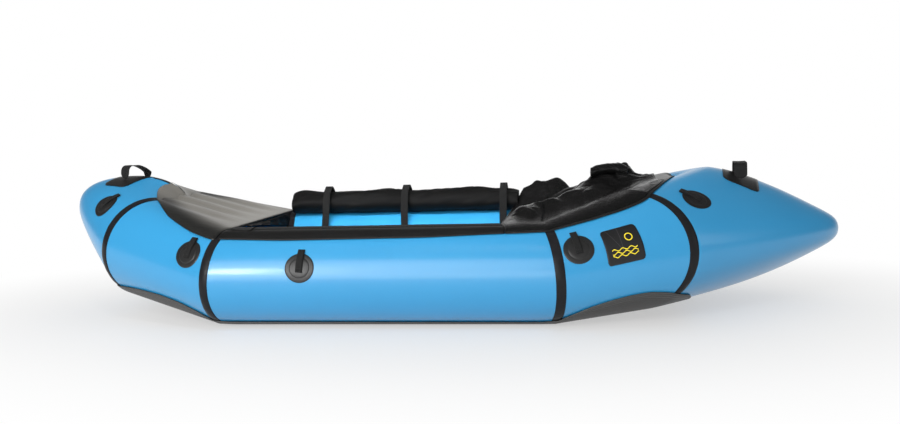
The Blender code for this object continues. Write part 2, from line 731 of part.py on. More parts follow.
def grab_loop(name, at_bow, x, span, patch_width, turned):
    turned = math.radians(turned)
    forward = Vector((math.cos(turned), -math.sin(turned)))
    level = Vector((math.sin(turned), math.cos(turned)))
    rows = []
    for share in grab_patch_columns:
        aside = patch_width / 2 * share
        into = max(0, abs(aside) - (patch_width / 2 - grab_patch_corner))
        rounded = math.sqrt(max(0, grab_patch_corner ** 2 - into ** 2))
        reach = grab_patch_length / 2 - grab_patch_corner + rounded
        spots = [Vector((x, 0)) + forward * (reach * k / 2) + level * aside for k in range(-2, 3)]
        rows.append([off_hull(*cap_place(at_bow, spot.x, spot.y), -1, patch_gap) for spot in spots])
    sheet(f"{name}_patch", rows, finish_material(f"{name}_patch", tape_black, 0.50), patch_thickness,
          lambda centre: upward)
    point, normal, along, turn = hull_frame(*cap_place(at_bow, x, 0), -1)
    crest = point + normal * (patch_gap + patch_thickness)
    pivot = crest + upward * grab_hinge
    across = Vector((level.x, level.y, 0))
    wide = across.cross(upward)
    crown = grab_height - grab_hinge
    corner = min(grab_corner, crown * 0.9)
    side_path = []
    for k in range(5):
        angle = math.radians(90 * k / 4)
        side_path.append((span / 2 - corner + corner * math.cos(angle),
                          crown - corner + corner * math.sin(angle)))
    reaches = []
    for way in (1, -1):
        # The foot has a thickness, so its inner and outer sides are both measured
        near = []
        for place in (span / 2, span / 2 - grab_thickness, span / 2 + grab_thickness):
            leg = pivot + across * (way * place)
            near += [(p - leg).length for p in leg_ground(at_bow, leg, across, patch_gap + patch_thickness)]
        reaches.append(min(near) - 1.5 * contact_gap)
    rows = []
    for share in (-1.0, -0.8, -0.45, 0.0, 0.45, 0.8, 1.0):
        offset = share * grab_width / 2
        ends = [-math.sqrt(max(0, reach * reach - offset * offset)) for reach in reaches]
        path = [(span / 2, ends[0])] + side_path
        path += [(-a, b) for a, b in reversed(side_path)] + [(-span / 2, ends[1])]
        rows.append([across * a + upward * b + wide * offset for a, b in path])
    arch = sheet(name, rows, finish_material(name, webbing_black, 0.70), grab_thickness,
                 lambda centre: centre)
    arch.location = pivot
    print(name, "pivot", [round(v, 5) for v in pivot], "axis", [round(v, 5) for v in across],
          "reaches", [round(v, 4) for v in reaches])


stern_grab_x = stern_grab_inset - half_length
bow_grab_x = half_length - bow_grab_inset
grab_loop("bow_grab_loop", True, bow_grab_x, bow_grab_span, bow_patch_width, bow_grab_turn)
grab_loop("stern_grab_loop", False, stern_grab_x, stern_grab_span, stern_patch_width, stern_grab_turn)

# Tape on the stern cap's centre seam, from the grab patch to the rear deck
centre_tape_width = 0.022
centre_tape_gap = 0.004
tape_rows = []
stern_turn = math.radians(stern_grab_turn)
patch_end_x = (stern_grab_x + grab_patch_length / 2 / math.cos(stern_turn) + centre_tape_gap
               + centre_tape_width / 2 * math.tan(stern_turn))
patch_end = cap_place(False, patch_end_x, 0)[1]
deck_start = 132.0
for r in range(9):
    degrees = patch_end + (deck_start - patch_end) * r / 8
    half = centre_tape_width / 2 / hull_frame(0, degrees)[2].length
    tape_rows.append([off_hull(half * way, degrees, -1, patch_gap) for way in (-1, 0, 1)])
sheet("stern_centre_tape", tape_rows, finish_material("stern_centre_tape", tape_black, 0.35),
      tape_thickness, lambda centre: upward)


# Turned pieces of the valves, each placed with its axis along the surface's normal

def turned(name, profile, place, axis, material, steps=18):
    """A closed turned body from a profile of radius and height, bottom centre first."""
    mesh = bpy.data.meshes.new(name)
    shape = bmesh.new()
    corners = [shape.verts.new((radius, 0, height)) for radius, height in profile]
    edges = [shape.edges.new(pair) for pair in zip(corners, corners[1:])]
    if profile[0][0] > 0:
        edges.append(shape.edges.new((corners[-1], corners[0])))
    bmesh.ops.spin(shape, geom=corners + edges, axis=(0, 0, 1), cent=(0, 0, 0), angle=2 * math.pi,
                   steps=steps)
    bmesh.ops.remove_doubles(shape, verts=shape.verts, dist=contact_gap / 10)
    bmesh.ops.recalc_face_normals(shape, faces=shape.faces)
    shape.to_mesh(mesh)
    shape.free()
    mesh.materials.append(material)
    made = bpy.data.objects.new(name, mesh)
    collection.objects.link(made)
    made.location = place
    made.rotation_mode = "QUATERNION"
    made.rotation_quaternion = axis.to_track_quat("Z", "Y")
    smooth(made)
    return made


# Inflation valve on the port stern quarter: boot, body, spring-loaded plunger and twist cap
valve_place = (1.46, 12.0, 1)
boot_radius = 0.040
valve_flange_radius, valve_flange = 0.021, 0.0025
valve_barrel_radius, valve_bore_radius = 0.0160, 0.0130
valve_height = 0.0120
valve_floor = 0.0020
valve_lip_radius, valve_lip = 0.0110, 0.0015
plunger_radius, plunger_disc = 0.0125, 0.0020
plunger_stem_radius, plunger_stem = 0.0030, 0.0045
cap_wall, cap_top, cap_height, cap_gap = 0.0022, 0.0020, 0.0110, 0.0005
patch("valve_boot", circle_outline(boot_radius, 20), valve_place,
      finish_material("valve_boot", tape_black, 0.50), patch_thickness, patch_gap)
valve_point, valve_axis, valve_along, valve_turn = hull_frame(*valve_place)
valve_sag = valve_flange_radius ** 2 / (2 * tube_radius) * 0.25
valve_base = valve_point + valve_axis * (patch_gap + patch_thickness + contact_gap + valve_sag)
turned("valve_body", (
    (0, 0), (valve_flange_radius, 0), (valve_flange_radius, valve_flange),
    (valve_barrel_radius, valve_flange), (valve_barrel_radius, valve_height),
    (valve_lip_radius, valve_height), (valve_lip_radius, valve_height - valve_lip),
    (valve_bore_radius, valve_height - valve_lip), (valve_bore_radius, valve_floor), (0, valve_floor)),
    valve_base, valve_axis, finish_material("valve_body", valve_black, 0.40))
plunger_top = valve_height - valve_lip - contact_gap
turned("valve_plunger", (
    (0, 0), (plunger_radius, 0), (plunger_radius, plunger_disc), (plunger_stem_radius, plunger_disc),
    (plunger_stem_radius, plunger_disc + plunger_stem - valve_lip),
    (0, plunger_disc + plunger_stem - valve_lip)),
    valve_base + valve_axis * (plunger_top - plunger_disc), valve_axis,
    finish_material("valve_plunger", (0.05, 0.05, 0.055), 0.35))
cap_inner = valve_barrel_radius + cap_gap
cap_outer = cap_inner + cap_wall
cap_bottom = valve_flange + contact_gap
cap_inside = valve_height + contact_gap + plunger_stem - valve_lip
turned("valve_cap", (
    (cap_inner, cap_bottom), (cap_outer, cap_bottom), (cap_outer, cap_inside + cap_top),
    (0, cap_inside + cap_top), (0, cap_inside), (cap_inner, cap_inside)),
    valve_base, valve_axis, finish_material("valve_cap", valve_black, 0.35))
print("valve base", [round(v, 5) for v in valve_base], "axis", [round(v, 5) for v in valve_axis])


# Seat: an inflated cushion on the floor, with two sewn channels, flat underneath
seat_inset = 0.3025
seat_middle_x = side_stern_x + seat_inset
seat_length, seat_width, seat_height = 0.380, 0.300, 0.095
seat_draw = 0.020
seat_channel_depth, seat_channel_half_width = 0.010, 0.012
seat_channel_offset = 0.060
seat_bottom = floor_thickness + contact_gap
seat_round, seat_corner, seat_crown = 0.55, 0.55, 0.75
seat_rows = []
seat_latitudes = (-72, -50, -25, 0, 25, 50, 68, 78, 85, 88.5)
seat_sides = 28
for latitude in seat_latitudes:
    latitude = math.radians(latitude)
    level, flat = math.sin(latitude), math.cos(latitude)
    row = []
    for c in range(seat_sides):
        around = 2 * math.pi * c / seat_sides
        reach = signed_power(flat, seat_round)
        x = seat_length / 2 * reach * signed_power(math.cos(around), seat_corner)
        y = seat_width / 2 * reach * signed_power(math.sin(around), seat_corner)
        draw = 1 - seat_draw / (seat_width / 2) * math.cos(2 * around) ** 2
        z = seat_height / 2 * (1 + signed_power(level, seat_crown))
        if level > 0:
            for channel in (-seat_channel_offset, seat_channel_offset):
                z -= seat_channel_depth * level * math.exp(-((y - channel) / seat_channel_half_width) ** 2)
        row.append(Vector((seat_middle_x + x * draw, y * draw, seat_bottom + max(0, z))))
    seat_rows.append(row)
for point in seat_rows[0]:
    point.z = seat_bottom
loft("seat_cushion", seat_rows, finish_material("seat_cushion", (0.025, 0.025, 0.028), 0.60))

# The seat's valve stands on its middle, with a twist cap
seat_valve_flange = 0.002
seat_valve_radius, seat_valve_height = 0.008, 0.006
seat_cap_radius, seat_cap_height = 0.0095, 0.008
seat_valve_base = Vector((seat_middle_x, 0, seat_rows[-1][0].z + contact_gap))
turned("seat_valve", ((0, 0), (seat_cap_radius, 0), (seat_cap_radius, seat_valve_flange),
                      (seat_valve_radius, seat_valve_flange),
                      (seat_valve_radius, seat_valve_height), (0, seat_valve_height)),
       seat_valve_base, upward, finish_material("seat_valve", valve_black, 0.40), steps=16)
turned("seat_valve_cap", ((0, 0), (seat_cap_radius, 0), (seat_cap_radius, seat_cap_height),
                          (0, seat_cap_height)),
       seat_valve_base + upward * (seat_valve_height + contact_gap), upward,
       finish_material("seat_valve_cap", valve_black, 0.35), steps=16)
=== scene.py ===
# Looks for a one-person packraft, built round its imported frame: hull fabric, seam tapes, floor, decks,
# the rolled and bunched spray skirt, straps, tie-downs, grab loops, valves and seat.
# Metres, X to the bow, Y to port, Z up. Angles go round the tube: 0 outboard, 90 up, 180 inboard, 270 down.
import json
import math
import bmesh
import bpy
from mathutils import Matrix, Vector, noise
from mathutils.bvhtree import BVHTree

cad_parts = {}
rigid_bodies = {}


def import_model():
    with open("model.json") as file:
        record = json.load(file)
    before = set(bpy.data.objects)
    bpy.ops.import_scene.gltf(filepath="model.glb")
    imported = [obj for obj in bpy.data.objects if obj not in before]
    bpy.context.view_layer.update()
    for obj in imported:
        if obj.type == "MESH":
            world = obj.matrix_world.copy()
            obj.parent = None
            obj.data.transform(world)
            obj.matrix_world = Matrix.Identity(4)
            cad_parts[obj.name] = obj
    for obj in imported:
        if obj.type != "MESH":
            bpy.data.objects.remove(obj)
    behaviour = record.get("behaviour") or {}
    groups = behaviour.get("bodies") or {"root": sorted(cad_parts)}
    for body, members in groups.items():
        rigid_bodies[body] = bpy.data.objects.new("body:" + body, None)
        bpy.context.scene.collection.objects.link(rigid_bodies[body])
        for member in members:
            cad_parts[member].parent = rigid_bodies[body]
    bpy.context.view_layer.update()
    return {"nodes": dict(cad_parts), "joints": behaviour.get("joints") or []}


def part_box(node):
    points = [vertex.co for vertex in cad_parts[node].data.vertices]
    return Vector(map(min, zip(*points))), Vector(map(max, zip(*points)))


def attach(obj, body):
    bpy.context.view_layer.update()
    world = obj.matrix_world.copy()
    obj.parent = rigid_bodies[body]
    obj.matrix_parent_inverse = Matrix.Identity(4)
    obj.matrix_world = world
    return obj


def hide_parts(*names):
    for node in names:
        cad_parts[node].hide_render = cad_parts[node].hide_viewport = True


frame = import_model()
scene = bpy.context.scene
scene.view_settings.view_transform = "Standard"
print("frame loaded,", len(frame["nodes"]), "nodes")


# Camera and studio

camera = {"place": (0.427, -2.8014, 0.5602), "yaw": -0.1377, "pitch": 0.0908, "roll": -0.0307,
          "lens": 34.583, "sensor": 36.0}


def makeCamera():
    yaw, pitch, roll = camera["yaw"], camera["pitch"], camera["roll"]
    forward = Vector((math.sin(yaw) * math.cos(pitch), math.cos(yaw) * math.cos(pitch), -math.sin(pitch)))
    level = Vector((math.cos(yaw), -math.sin(yaw), 0))
    lift = level.cross(forward)
    right = level * math.cos(roll) + lift * math.sin(roll)
    up = lift * math.cos(roll) - level * math.sin(roll)
    data = bpy.data.cameras.new("camera")
    data.lens, data.sensor_width = camera["lens"], camera["sensor"]
    made = bpy.data.objects.new("camera", data)
    scene.collection.objects.link(made)
    made.matrix_world = Matrix.Translation(camera["place"]) @ Matrix((right, up, -forward)).transposed().to_4x4()
    scene.camera = made


makeCamera()


class Wire:
    # a number on its way through the nodes, which Python's operators can work on
    def __init__(self, finish, socket):
        self.finish, self.socket = finish, socket

    def maths(self, operation, *values):
        return self.finish.node("Math", {"operation": operation}, dict(enumerate(values)))

    def __add__(self, other):
        return self.maths("ADD", self, other)

    def __sub__(self, other):
        return self.maths("SUBTRACT", self, other)

    def __rsub__(self, other):
        return self.maths("SUBTRACT", other, self)

    def __mul__(self, other):
        return self.maths("MULTIPLY", self, other)

    def __abs__(self):
        return self.maths("ABSOLUTE", self)

    __radd__, __rmul__ = __add__, __mul__


class Nodes:
    # a node tree and the ways to add to it
    def __init__(self, tree):
        self.tree = tree

    def feed(self, socket, value):
        if isinstance(value, Wire):
            self.tree.links.new(value.socket, socket)
        elif isinstance(value, tuple) and len(value) == 3 and len(socket.default_value) == 4:
            socket.default_value = (*value, 1)
        else:
            socket.default_value = value

    def node(self, kind, settings, sockets, out=0):
        made = self.tree.nodes.new("ShaderNode" + kind)
        for key, value in settings.items():
            setattr(made, key, value)
        for key, value in sockets.items():
            self.feed(made.inputs[key], value)
        return Wire(self, made.outputs[out])

    def outputs(self, kind, *names):
        made = self.tree.nodes.new("ShaderNode" + kind)
        return [Wire(self, made.outputs[name]) for name in names]

    def step(self, value, low, high, least=0.0, most=1.0):
        return self.node("MapRange", {"interpolation_type": "SMOOTHSTEP"},
                         {"Value": value, "From Min": low, "From Max": high, "To Min": least, "To Max": most})


class Finish(Nodes):
    # one material and the nodes that feed its shader
    def __init__(self, name, roughness=0.5, **fixed):
        self.material = bpy.data.materials.new(name)
        self.material.use_nodes = True
        super().__init__(self.material.node_tree)
        self.shader = self.tree.nodes["Principled BSDF"]
        self.wear(Roughness=roughness, **fixed)

    def wear(self, **channels):
        for key, value in channels.items():
            self.feed(self.shader.inputs[key.replace("_", " ")], value)
        return self.material

    def place(self):
        return self.node("TexCoord", {}, {}, "Object")

    def lie(self):
        # how far the point is across and along its piece, and how wide the piece is there
        flat = self.node("Attribute", {"attribute_name": "lie"}, {}, "Vector")
        parts = self.node("SeparateXYZ", {}, {0: flat}).socket.node.outputs
        return [Wire(self, socket) for socket in parts]

    def edges(self):
        # how far the point is along its piece, and from the nearer of the two long edges
        across, along, whole = self.lie()
        return along, across.maths("MINIMUM", across, whole - across)

    def cells(self, vector, scale, detail=2.0, sharp=0.5):
        return self.node("TexNoise", {}, {"Vector": vector, "Scale": scale, "Detail": detail,
                                          "Roughness": sharp})

    def wave(self, value, length):
        return value.maths("SINE", value * (2 * math.pi / length))

    def mix(self, share, first, second):
        return self.node("Mix", {"data_type": "RGBA"}, {0: share, 6: first, 7: second}, 2)

    def stretch(self, vector, scale):
        return self.node("VectorMath", {"operation": "MULTIPLY"}, {0: vector, 1: scale})

    def bump(self, height, depth, strength, under=None):
        sockets = {"Height": height, "Distance": depth, "Strength": strength}
        if under:
            sockets["Normal"] = under
        return self.node("Bump", {}, sockets)

    def grained(self, coarse, fine, shares, tones, bumps, rough=None):
        # the usual cloth: a coarse and a fine grain, each with its share in the colour and its bump
        spot = self.place()
        wide, small = self.cells(spot, *coarse), self.cells(spot, *fine)
        if rough:
            self.wear(Roughness=rough[0] + wide * rough[1])
        bent = self.bump(wide, *bumps[:2])
        return self.wear(Base_Color=self.mix(wide * shares[0] + small * shares[1] + shares[2], *tones),
                         Normal=self.bump(small, *bumps[2:], bent))


studio = {"floorReach": 30.0, "floorTone": (0.80, 0.80, 0.795), "fadeStart": 0.50, "fadeEnd": 1.40,
          "fadeLeast": 0.50, "ambient": 0.52, "ceiling": 0.08, "floorDrop": 0.0006}


def makeStudio():
    world = bpy.data.worlds.new("studio")
    scene.world = world
    world.use_nodes = True
    # white behind the raft and to the camera; a gloss sees that wall low down and a dim room elsewhere
    sky = Nodes(world.node_tree)
    seen, mirrored = sky.outputs("LightPath", "Is Camera Ray", "Is Glossy Ray")
    ray = sky.outputs("TexCoord", "Generated")[0]
    wayIn, wayUp = (sky.node("SeparateXYZ", {}, {0: ray}, axis) for axis in (1, 2))
    wall = sky.step(wayIn - wayUp * 0.8, 0.25, 0.85, studio["ceiling"], 1.0)
    strength = studio["ambient"] + seen * (1 - studio["ambient"]) + mirrored * (wall - studio["ambient"])
    back = world.node_tree.nodes["Background"]
    back.inputs["Color"].default_value = (1, 1, 1, 1)
    sky.feed(back.inputs["Strength"], strength)
    # the floor takes the shadow near the raft and turns white further out
    mesh = bpy.data.meshes.new("floor")
    corners = [(x * studio["floorReach"], y * studio["floorReach"], -studio["floorDrop"])
               for x, y in ((-1, -1), (1, -1), (1, 1), (-1, 1))]
    mesh.from_pydata(corners, [], [(0, 1, 2, 3)])
    floor = bpy.data.objects.new("floor", mesh)
    scene.collection.objects.link(floor)
    finish = Finish("paleFloor", 0.55, Base_Color=studio["floorTone"])
    far = finish.node("VectorMath", {"operation": "LENGTH"},
                      {0: finish.stretch(finish.place(), (0.62, 1.0, 0.0))}, "Value")
    share = finish.step(far, studio["fadeStart"], studio["fadeEnd"], studio["fadeLeast"])
    seen, mirrored = finish.outputs("LightPath", "Is Camera Ray", "Is Glossy Ray")
    glow = finish.node("Emission", {}, {"Color": (1.0, 1.0, 1.0), "Strength": 1.0})
    blend = finish.node("MixShader", {}, {0: share * (seen + mirrored), 1: Wire(finish, finish.shader.outputs[0]),
                                          2: glow})
    finish.tree.links.new(blend.socket, finish.tree.nodes["Material Output"].inputs["Surface"])
    mesh.materials.append(finish.material)


makeStudio()

lamps = {  # place, aim, size, power, whether a gloss mirrors it, spread in degrees
    "overhead": ((0.1, 0.2, 3.4), (0.0, 0.0, 0.2), (4.2, 2.6), 12, False, 180),
    "frontBox": ((-1.15, -4.1, 2.35), (-0.3, -0.3, 0.15), (3.2, 2.0), 72, True, 180),
    "lowBox": ((-1.0, -4.0, 0.62), (-0.2, -0.4, 0.10), (3.4, 1.1), 47, True, 180),
    "sternStrip": ((-2.15, -4.0, 1.35), (-0.5, -0.3, 0.15), (0.6, 0.8), 56, True, 180),
    "cockpitBox": ((-0.15, -1.0, 1.80), (-0.15, 0.28, 0.20), (1.2, 0.2), 5, False, 44),
    "bowSide": ((4.2, -2.2, 1.6), (0.6, 0, 0.2), (1.6, 1.6), 12, True, 180),
}


def makeLamps():
    for name, (place, aim, size, power, mirrored, spread) in lamps.items():
        data = bpy.data.lights.new(name, "AREA")
        data.shape, data.energy, data.spread = "RECTANGLE", power, math.radians(spread)
        data.size, data.size_y = size
        made = bpy.data.objects.new(name, data)
        scene.collection.objects.link(made)
        made.location = place
        made.rotation_euler = (Vector(aim) - made.location).to_track_quat("-Z", "Y").to_euler()
        made.visible_glossy, made.visible_camera = mirrored, False


makeLamps()
print("camera and studio made")


# The hull's surface. Stations count along each side: 0 stern nose, 1 cap seam, 2 and 3 the ends of
# the side tube, 4 cap seam, 5 bow nose. Side is -1 starboard and 1 port.

hull = {"halfLength": 1.250, "sideLength": 0.961, "sideSetBack": 0.1213, "spacing": 0.6098,
        "tube": 0.1423, "tubeHeight": 0.1469}
noses = {
    "stern": {"height": 0.3495, "reach": 0.2010, "back": 0.1827, "crown": 0.0964, "keel": 0.1866,
              "crownPower": 2.46, "keelPower": 1.43, "way": -1},
    "bow": {"height": 0.2332, "reach": 0.3884, "back": 0.1800, "crown": 0.1974, "keel": 0.1806,
            "crownPower": 1.30, "keelPower": 1.36, "way": 1, "tipPower": 1.80, "tipSpread": 20.0},
}
noseShape = {"fullness": 1.3, "round": 0.15, "crowding": 1.5}


def mitred(turn):
    return hull["tube"] / math.cos(math.radians(turn))


sideEnds = [-hull["sideSetBack"] + way * hull["sideLength"] / 2 for way in (-1, 1)]
seamRings = {
    1: {"x": -0.9317, "y": 0.1529, "z": 0.2215, "wide": 0.1573, "high": 0.1583, "turn": -36.9, "tilt": -11.4},
    2: {"x": sideEnds[0], "y": hull["spacing"] / 2, "z": hull["tubeHeight"], "wide": mitred(-11.3),
        "high": mitred(-4.2), "turn": -11.3, "tilt": -4.2},
    3: {"x": sideEnds[1], "y": hull["spacing"] / 2, "z": hull["tubeHeight"], "wide": mitred(16.5),
        "high": mitred(2.9), "turn": 16.5, "tilt": 2.9},
    4: {"x": 0.6107, "y": 0.2614, "z": 0.2057, "wide": 0.1936, "high": 0.1667, "turn": 54.1, "tilt": -4.3},
}


def signedPower(value, power):
    return math.copysign(abs(value) ** power, value)


def ringPoint(number, angle):
    ring = seamRings[number]
    turn, tilt = math.radians(ring["turn"]), math.radians(ring["tilt"])
    along = Vector((math.cos(turn) * math.cos(tilt), math.sin(turn) * math.cos(tilt), math.sin(tilt)))
    outboard = Vector((math.sin(turn), -math.cos(turn), 0))
    up = outboard.cross(along)
    return (Vector((ring["x"], -ring["y"], ring["z"])) + outboard * (ring["wide"] * math.cos(angle))
            + up * (ring["high"] * math.sin(angle)))


def nosePoint(name, angle):
    nose = noses[name]
    across, up = math.cos(angle), math.sin(angle)
    power = nose["crownPower"] if up > 0 else nose["keelPower"]
    if "tipPower" in nose:
        offTip = math.degrees(math.asin(max(-1.0, min(1.0, up))))
        power += (nose["tipPower"] - power) * math.exp(-(offTip / nose["tipSpread"]) ** 2)
    if across <= 0:
        power = 2.0
    middle = nose["way"] * (hull["halfLength"] - nose["reach"])
    length = nose["reach"] if across > 0 else nose["back"]
    depth = nose["crown"] if up > 0 else nose["keel"]
    return Vector((middle + nose["way"] * length * signedPower(across, 2 / power), 0,
                   nose["height"] + depth * signedPower(up, 2 / power)))


def noseWeight(share):
    def bend(value):
        return (value * value + noseShape["round"] ** 2) ** (noseShape["fullness"] / 2)
    return (bend(share) - bend(0)) / (bend(1) - bend(0))


def hullPoint(station, degrees, side=-1):
    angle = math.radians(degrees)
    if station > 5:
        station, side = 10 - station, -side
    if station < 0:
        station, side = -station, -side
    if station >= 4 or station <= 1:
        name, ring, share = ("bow", 4, 5 - station) if station >= 4 else ("stern", 1, station)
        seam = ringPoint(ring, angle)
        point = nosePoint(name, angle).lerp(seam, noseWeight(share))
        point.y = seam.y * share
    else:
        number = min(int(station), 3)
        point = ringPoint(number, angle).lerp(ringPoint(number + 1, angle), station - number)
    point.y *= -side
    return point


def hullFrame(station, degrees, side=-1, step=0.004):
    point = hullPoint(station, degrees, side)
    along = (hullPoint(station + step, degrees, side) - hullPoint(station - step, degrees, side)) / (2 * step)
    turn = (hullPoint(station, degrees + 1, side) - hullPoint(station, degrees - 1, side)) / 2
    return point, turn.cross(along).normalized() * side, along, turn


pucker = {"depth": 0.0007, "count": 23, "reach": 0.030}


def offHull(station, degrees, side, gap):
    point, normal = hullFrame(station, degrees, side)[:2]
    return point + normal * gap


def skin(station, degrees, side, gap):
    # the hull with the faint gathers that the fabric has beside each seam
    point, normal, along = hullFrame(station, degrees, side)[:3]
    seam = min(max(round(station), 1), 4)
    away = abs(station - seam) * along.length
    gather = math.sin(math.radians(degrees) * pucker["count"] + 3 * noise.noise(point * 9))
    gather += 0.6 * math.sin(math.radians(degrees) * pucker["count"] * 1.7 + seam)
    return point + normal * (gap - pucker["depth"] * (0.5 + 0.3 * gather) * math.exp(-away / pucker["reach"]))


# Making pieces

def place(table, station):
    # reads a table of (station, angle) pairs, rounded off at its corners
    def read(s):
        for (s0, a0), (s1, a1) in zip(table, table[1:]):
            if s <= s1:
                return a0 + (a1 - a0) * max(0, s - s0) / (s1 - s0)
        return table[-1][1]
    reach = 0.04
    return sum(read(station + reach * k / 2) for k in (-2, -1, 0, 1, 2)) / 5


def spread(start, end, count):
    return [start + (end - start) * k / count for k in range(count + 1)]


def newPiece(name, points, faces, finish, body, nodes, lie=None):
    mesh = bpy.data.meshes.new(name)
    mesh.from_pydata([tuple(p) for p in points], [], faces)
    mesh.materials.append(finish)
    mesh.shade_smooth()
    if lie:
        values = mesh.attributes.new("lie", "FLOAT_VECTOR", "POINT")
        values.data.foreach_set("vector", [v for p in lie for v in p])
    piece = bpy.data.objects.new(name, mesh)
    scene.collection.objects.link(piece)
    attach(piece, body)
    if nodes:
        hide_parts(*nodes)
    return piece


def gridFaces(rows, columns, closed=False):
    last = columns if closed else columns - 1
    return [(r * columns + c, r * columns + (c + 1) % columns,
             (r + 1) * columns + (c + 1) % columns, (r + 1) * columns + c)
            for r in range(rows - 1) for c in range(last)]


def lieOf(rows):
    # metres along each row, metres from the first row, and the row's whole length
    spots = []
    down = [0.0] * len(rows[0])
    for r, row in enumerate(rows):
        if r:
            down = [d + (p - q).length for d, p, q in zip(down, row, rows[r - 1])]
        run = [0.0]
        for p, q in zip(row, row[1:]):
            run.append(run[-1] + (q - p).length)
        spots += [(a, d, run[-1]) for a, d in zip(run, down)]
    return spots


def outward(rows, away, closed=False):
    # faces of a grid of points, turned so that they look the way that away says
    flat = sum(rows, [])
    faces = gridFaces(len(rows), len(rows[0]), closed)
    total = 0
    for a, b, c, d in faces[::7]:
        middle = (flat[a] + flat[b] + flat[c] + flat[d]) / 4
        total += (flat[c] - flat[a]).cross(flat[d] - flat[b]).dot(away(middle))
    return [face[::-1] for face in faces] if total < 0 else faces


def thicken(piece, thick, offset, even=True):
    solid = piece.modifiers.new("thickness", "SOLIDIFY")
    solid.thickness, solid.offset, solid.use_even_offset = thick, offset, even


def softenEdge(piece, width):
    edge = piece.modifiers.new("softEdge", "BEVEL")
    edge.width, edge.segments, edge.limit_method = width, 2, "ANGLE"
    edge.angle_limit = math.radians(50)


def sheetPiece(name, rows, finish, away, thick, nodes=(), body="hull", closed=False, inward=False, even=True,
               lie=None):
    piece = newPiece(name, sum(rows, []), outward(rows, away, closed), finish, body, nodes, lie or lieOf(rows))
    thicken(piece, thick, -1.0 if inward else 1.0, even)
    return piece


def upward(middle):
    return Vector((0, 0, 1))


def forward(middle):
    return Vector((1, 0, 0))


def aroundX(centre):
    # away from a line through centre that runs fore and aft
    return lambda p: Vector((0, p.y - centre.y, p.z - centre.z))


sides = ((-1, "starboard"), (1, "port"))


# Hull panels

panelLook = {"columns": 112, "fabric": 0.0010, "seamGap": 0.0003,
             "tones": ((0.024, 0.252, 0.502), (0.034, 0.280, 0.542))}


def hullFabric():
    finish = Finish("hullFabric", Specular_IOR_Level=0.5, Coat_Weight=0.35, Coat_Roughness=0.16)
    spot = finish.place()
    cloud = finish.cells(spot, 5.0, 2.0)
    grain = finish.cells(spot, 260.0, 3.0, 0.7)
    weave = finish.cells(spot, 1500.0, 1.0)
    bent = finish.bump(grain, 0.0004, 0.25)
    return finish.wear(Base_Color=finish.mix(cloud * 0.7 + grain * 0.6 - 0.15, *panelLook["tones"]),
                       Roughness=0.27 + grain * 0.10, Normal=finish.bump(weave, 0.0002, 0.35, bent))


panelFabric = hullFabric()
panels = (("stern_cap", 0, 1, 34), ("stern_quarter", 1, 2, 18), ("side_tube", 2, 3, 56),
          ("bow_quarter", 3, 4, 20), ("bow_cap", 4, 5, 44))


def makePanels():
    for side, sideName in sides:
        for name, start, end, spans in panels:
            gaps = [panelLook["seamGap"] / 2 / hullFrame(s, 0)[2].length for s in (start + 0.01, end - 0.01)]
            rows = []
            for r in range(spans + 1):
                # the rows crowd towards the noses and the seams, where the fabric is gathered
                share = r / spans
                if start == 0:
                    share = share ** noseShape["crowding"]
                elif end == 5:
                    share = 1 - (1 - share) ** noseShape["crowding"]
                else:
                    share = share - math.sin(2 * math.pi * share) * 0.08
                station = start + gaps[0] + (end - start - gaps[0] - gaps[1]) * share
                rows.append([skin(station, 360 * c / panelLook["columns"], side, 0)
                             for c in range(panelLook["columns"])])
            middles = [sum(row, Vector()) / len(row) for row in rows]
            sheetPiece(f"{name}_{sideName}_fabric", rows, panelFabric,
                       lambda p: p - min(middles, key=lambda m: (m - p).length), panelLook["fabric"],
                       [f"{name}_{sideName}"], closed=True, inward=True)


makePanels()
print("hull panels made")


# Tapes over the seams

tapeLook = {"width": 0.028, "high": 0.0013, "edge": 0.0006, "thick": 0.0006, "columns": 120,
            "tones": ((0.008, 0.008, 0.009), (0.018, 0.018, 0.020)),
            "centreWidth": 0.022, "centreStart": 111.5, "centreEnd": 132.5}
tapeBlack = Finish("seamTape", Specular_IOR_Level=0.12).grained(
    (46.0, 3.0, 0.6), (420.0, 2.0), (0.6, 0.4, 0.0), tapeLook["tones"], (0.0022, 0.55, 0.0003, 0.4), (0.24, 0.16))
tapeShape = (-1.0, -0.93, -0.6, 0.0, 0.6, 0.93, 1.0)


def tapeHeight(share):
    return tapeLook["edge"] + (tapeLook["high"] - tapeLook["edge"]) * (1 - abs(share) ** 8)


def makeTapes():
    for side, sideName in sides:
        for station, name in enumerate(("stern_cap_tape", "stern_seam_tape", "bow_seam_tape", "bow_cap_tape"), 1):
            rows = [[] for _ in tapeShape]
            for c in range(tapeLook["columns"]):
                degrees = 360 * c / tapeLook["columns"]
                for row, share in zip(rows, tapeShape):
                    way = (share > 0) - (share < 0)
                    length = hullFrame(station + way * 0.01, degrees, side)[2].length
                    row.append(skin(station + share * tapeLook["width"] / 2 / length, degrees, side,
                                    tapeHeight(share)))
            middle = sum(rows[3], Vector()) / tapeLook["columns"]
            sheetPiece(f"{name}_{sideName}_strip", rows, tapeBlack, lambda p: p - middle, tapeLook["thick"],
                       [f"{name}_{sideName}"], closed=True, inward=True)
    rows = []
    for degrees in spread(tapeLook["centreStart"], tapeLook["centreEnd"], 24):
        half = tapeLook["centreWidth"] / 2 / hullFrame(0, degrees)[2].length
        rows.append([offHull(half * share, degrees, -1, tapeHeight(share) + 0.0004) for share in tapeShape])
    sheetPiece("stern_centre_strip", rows, tapeBlack, upward, tapeLook["thick"], ["stern_centre_tape"],
               inward=True)


makeTapes()
print("seam tapes made")


# Patches laid on the hull

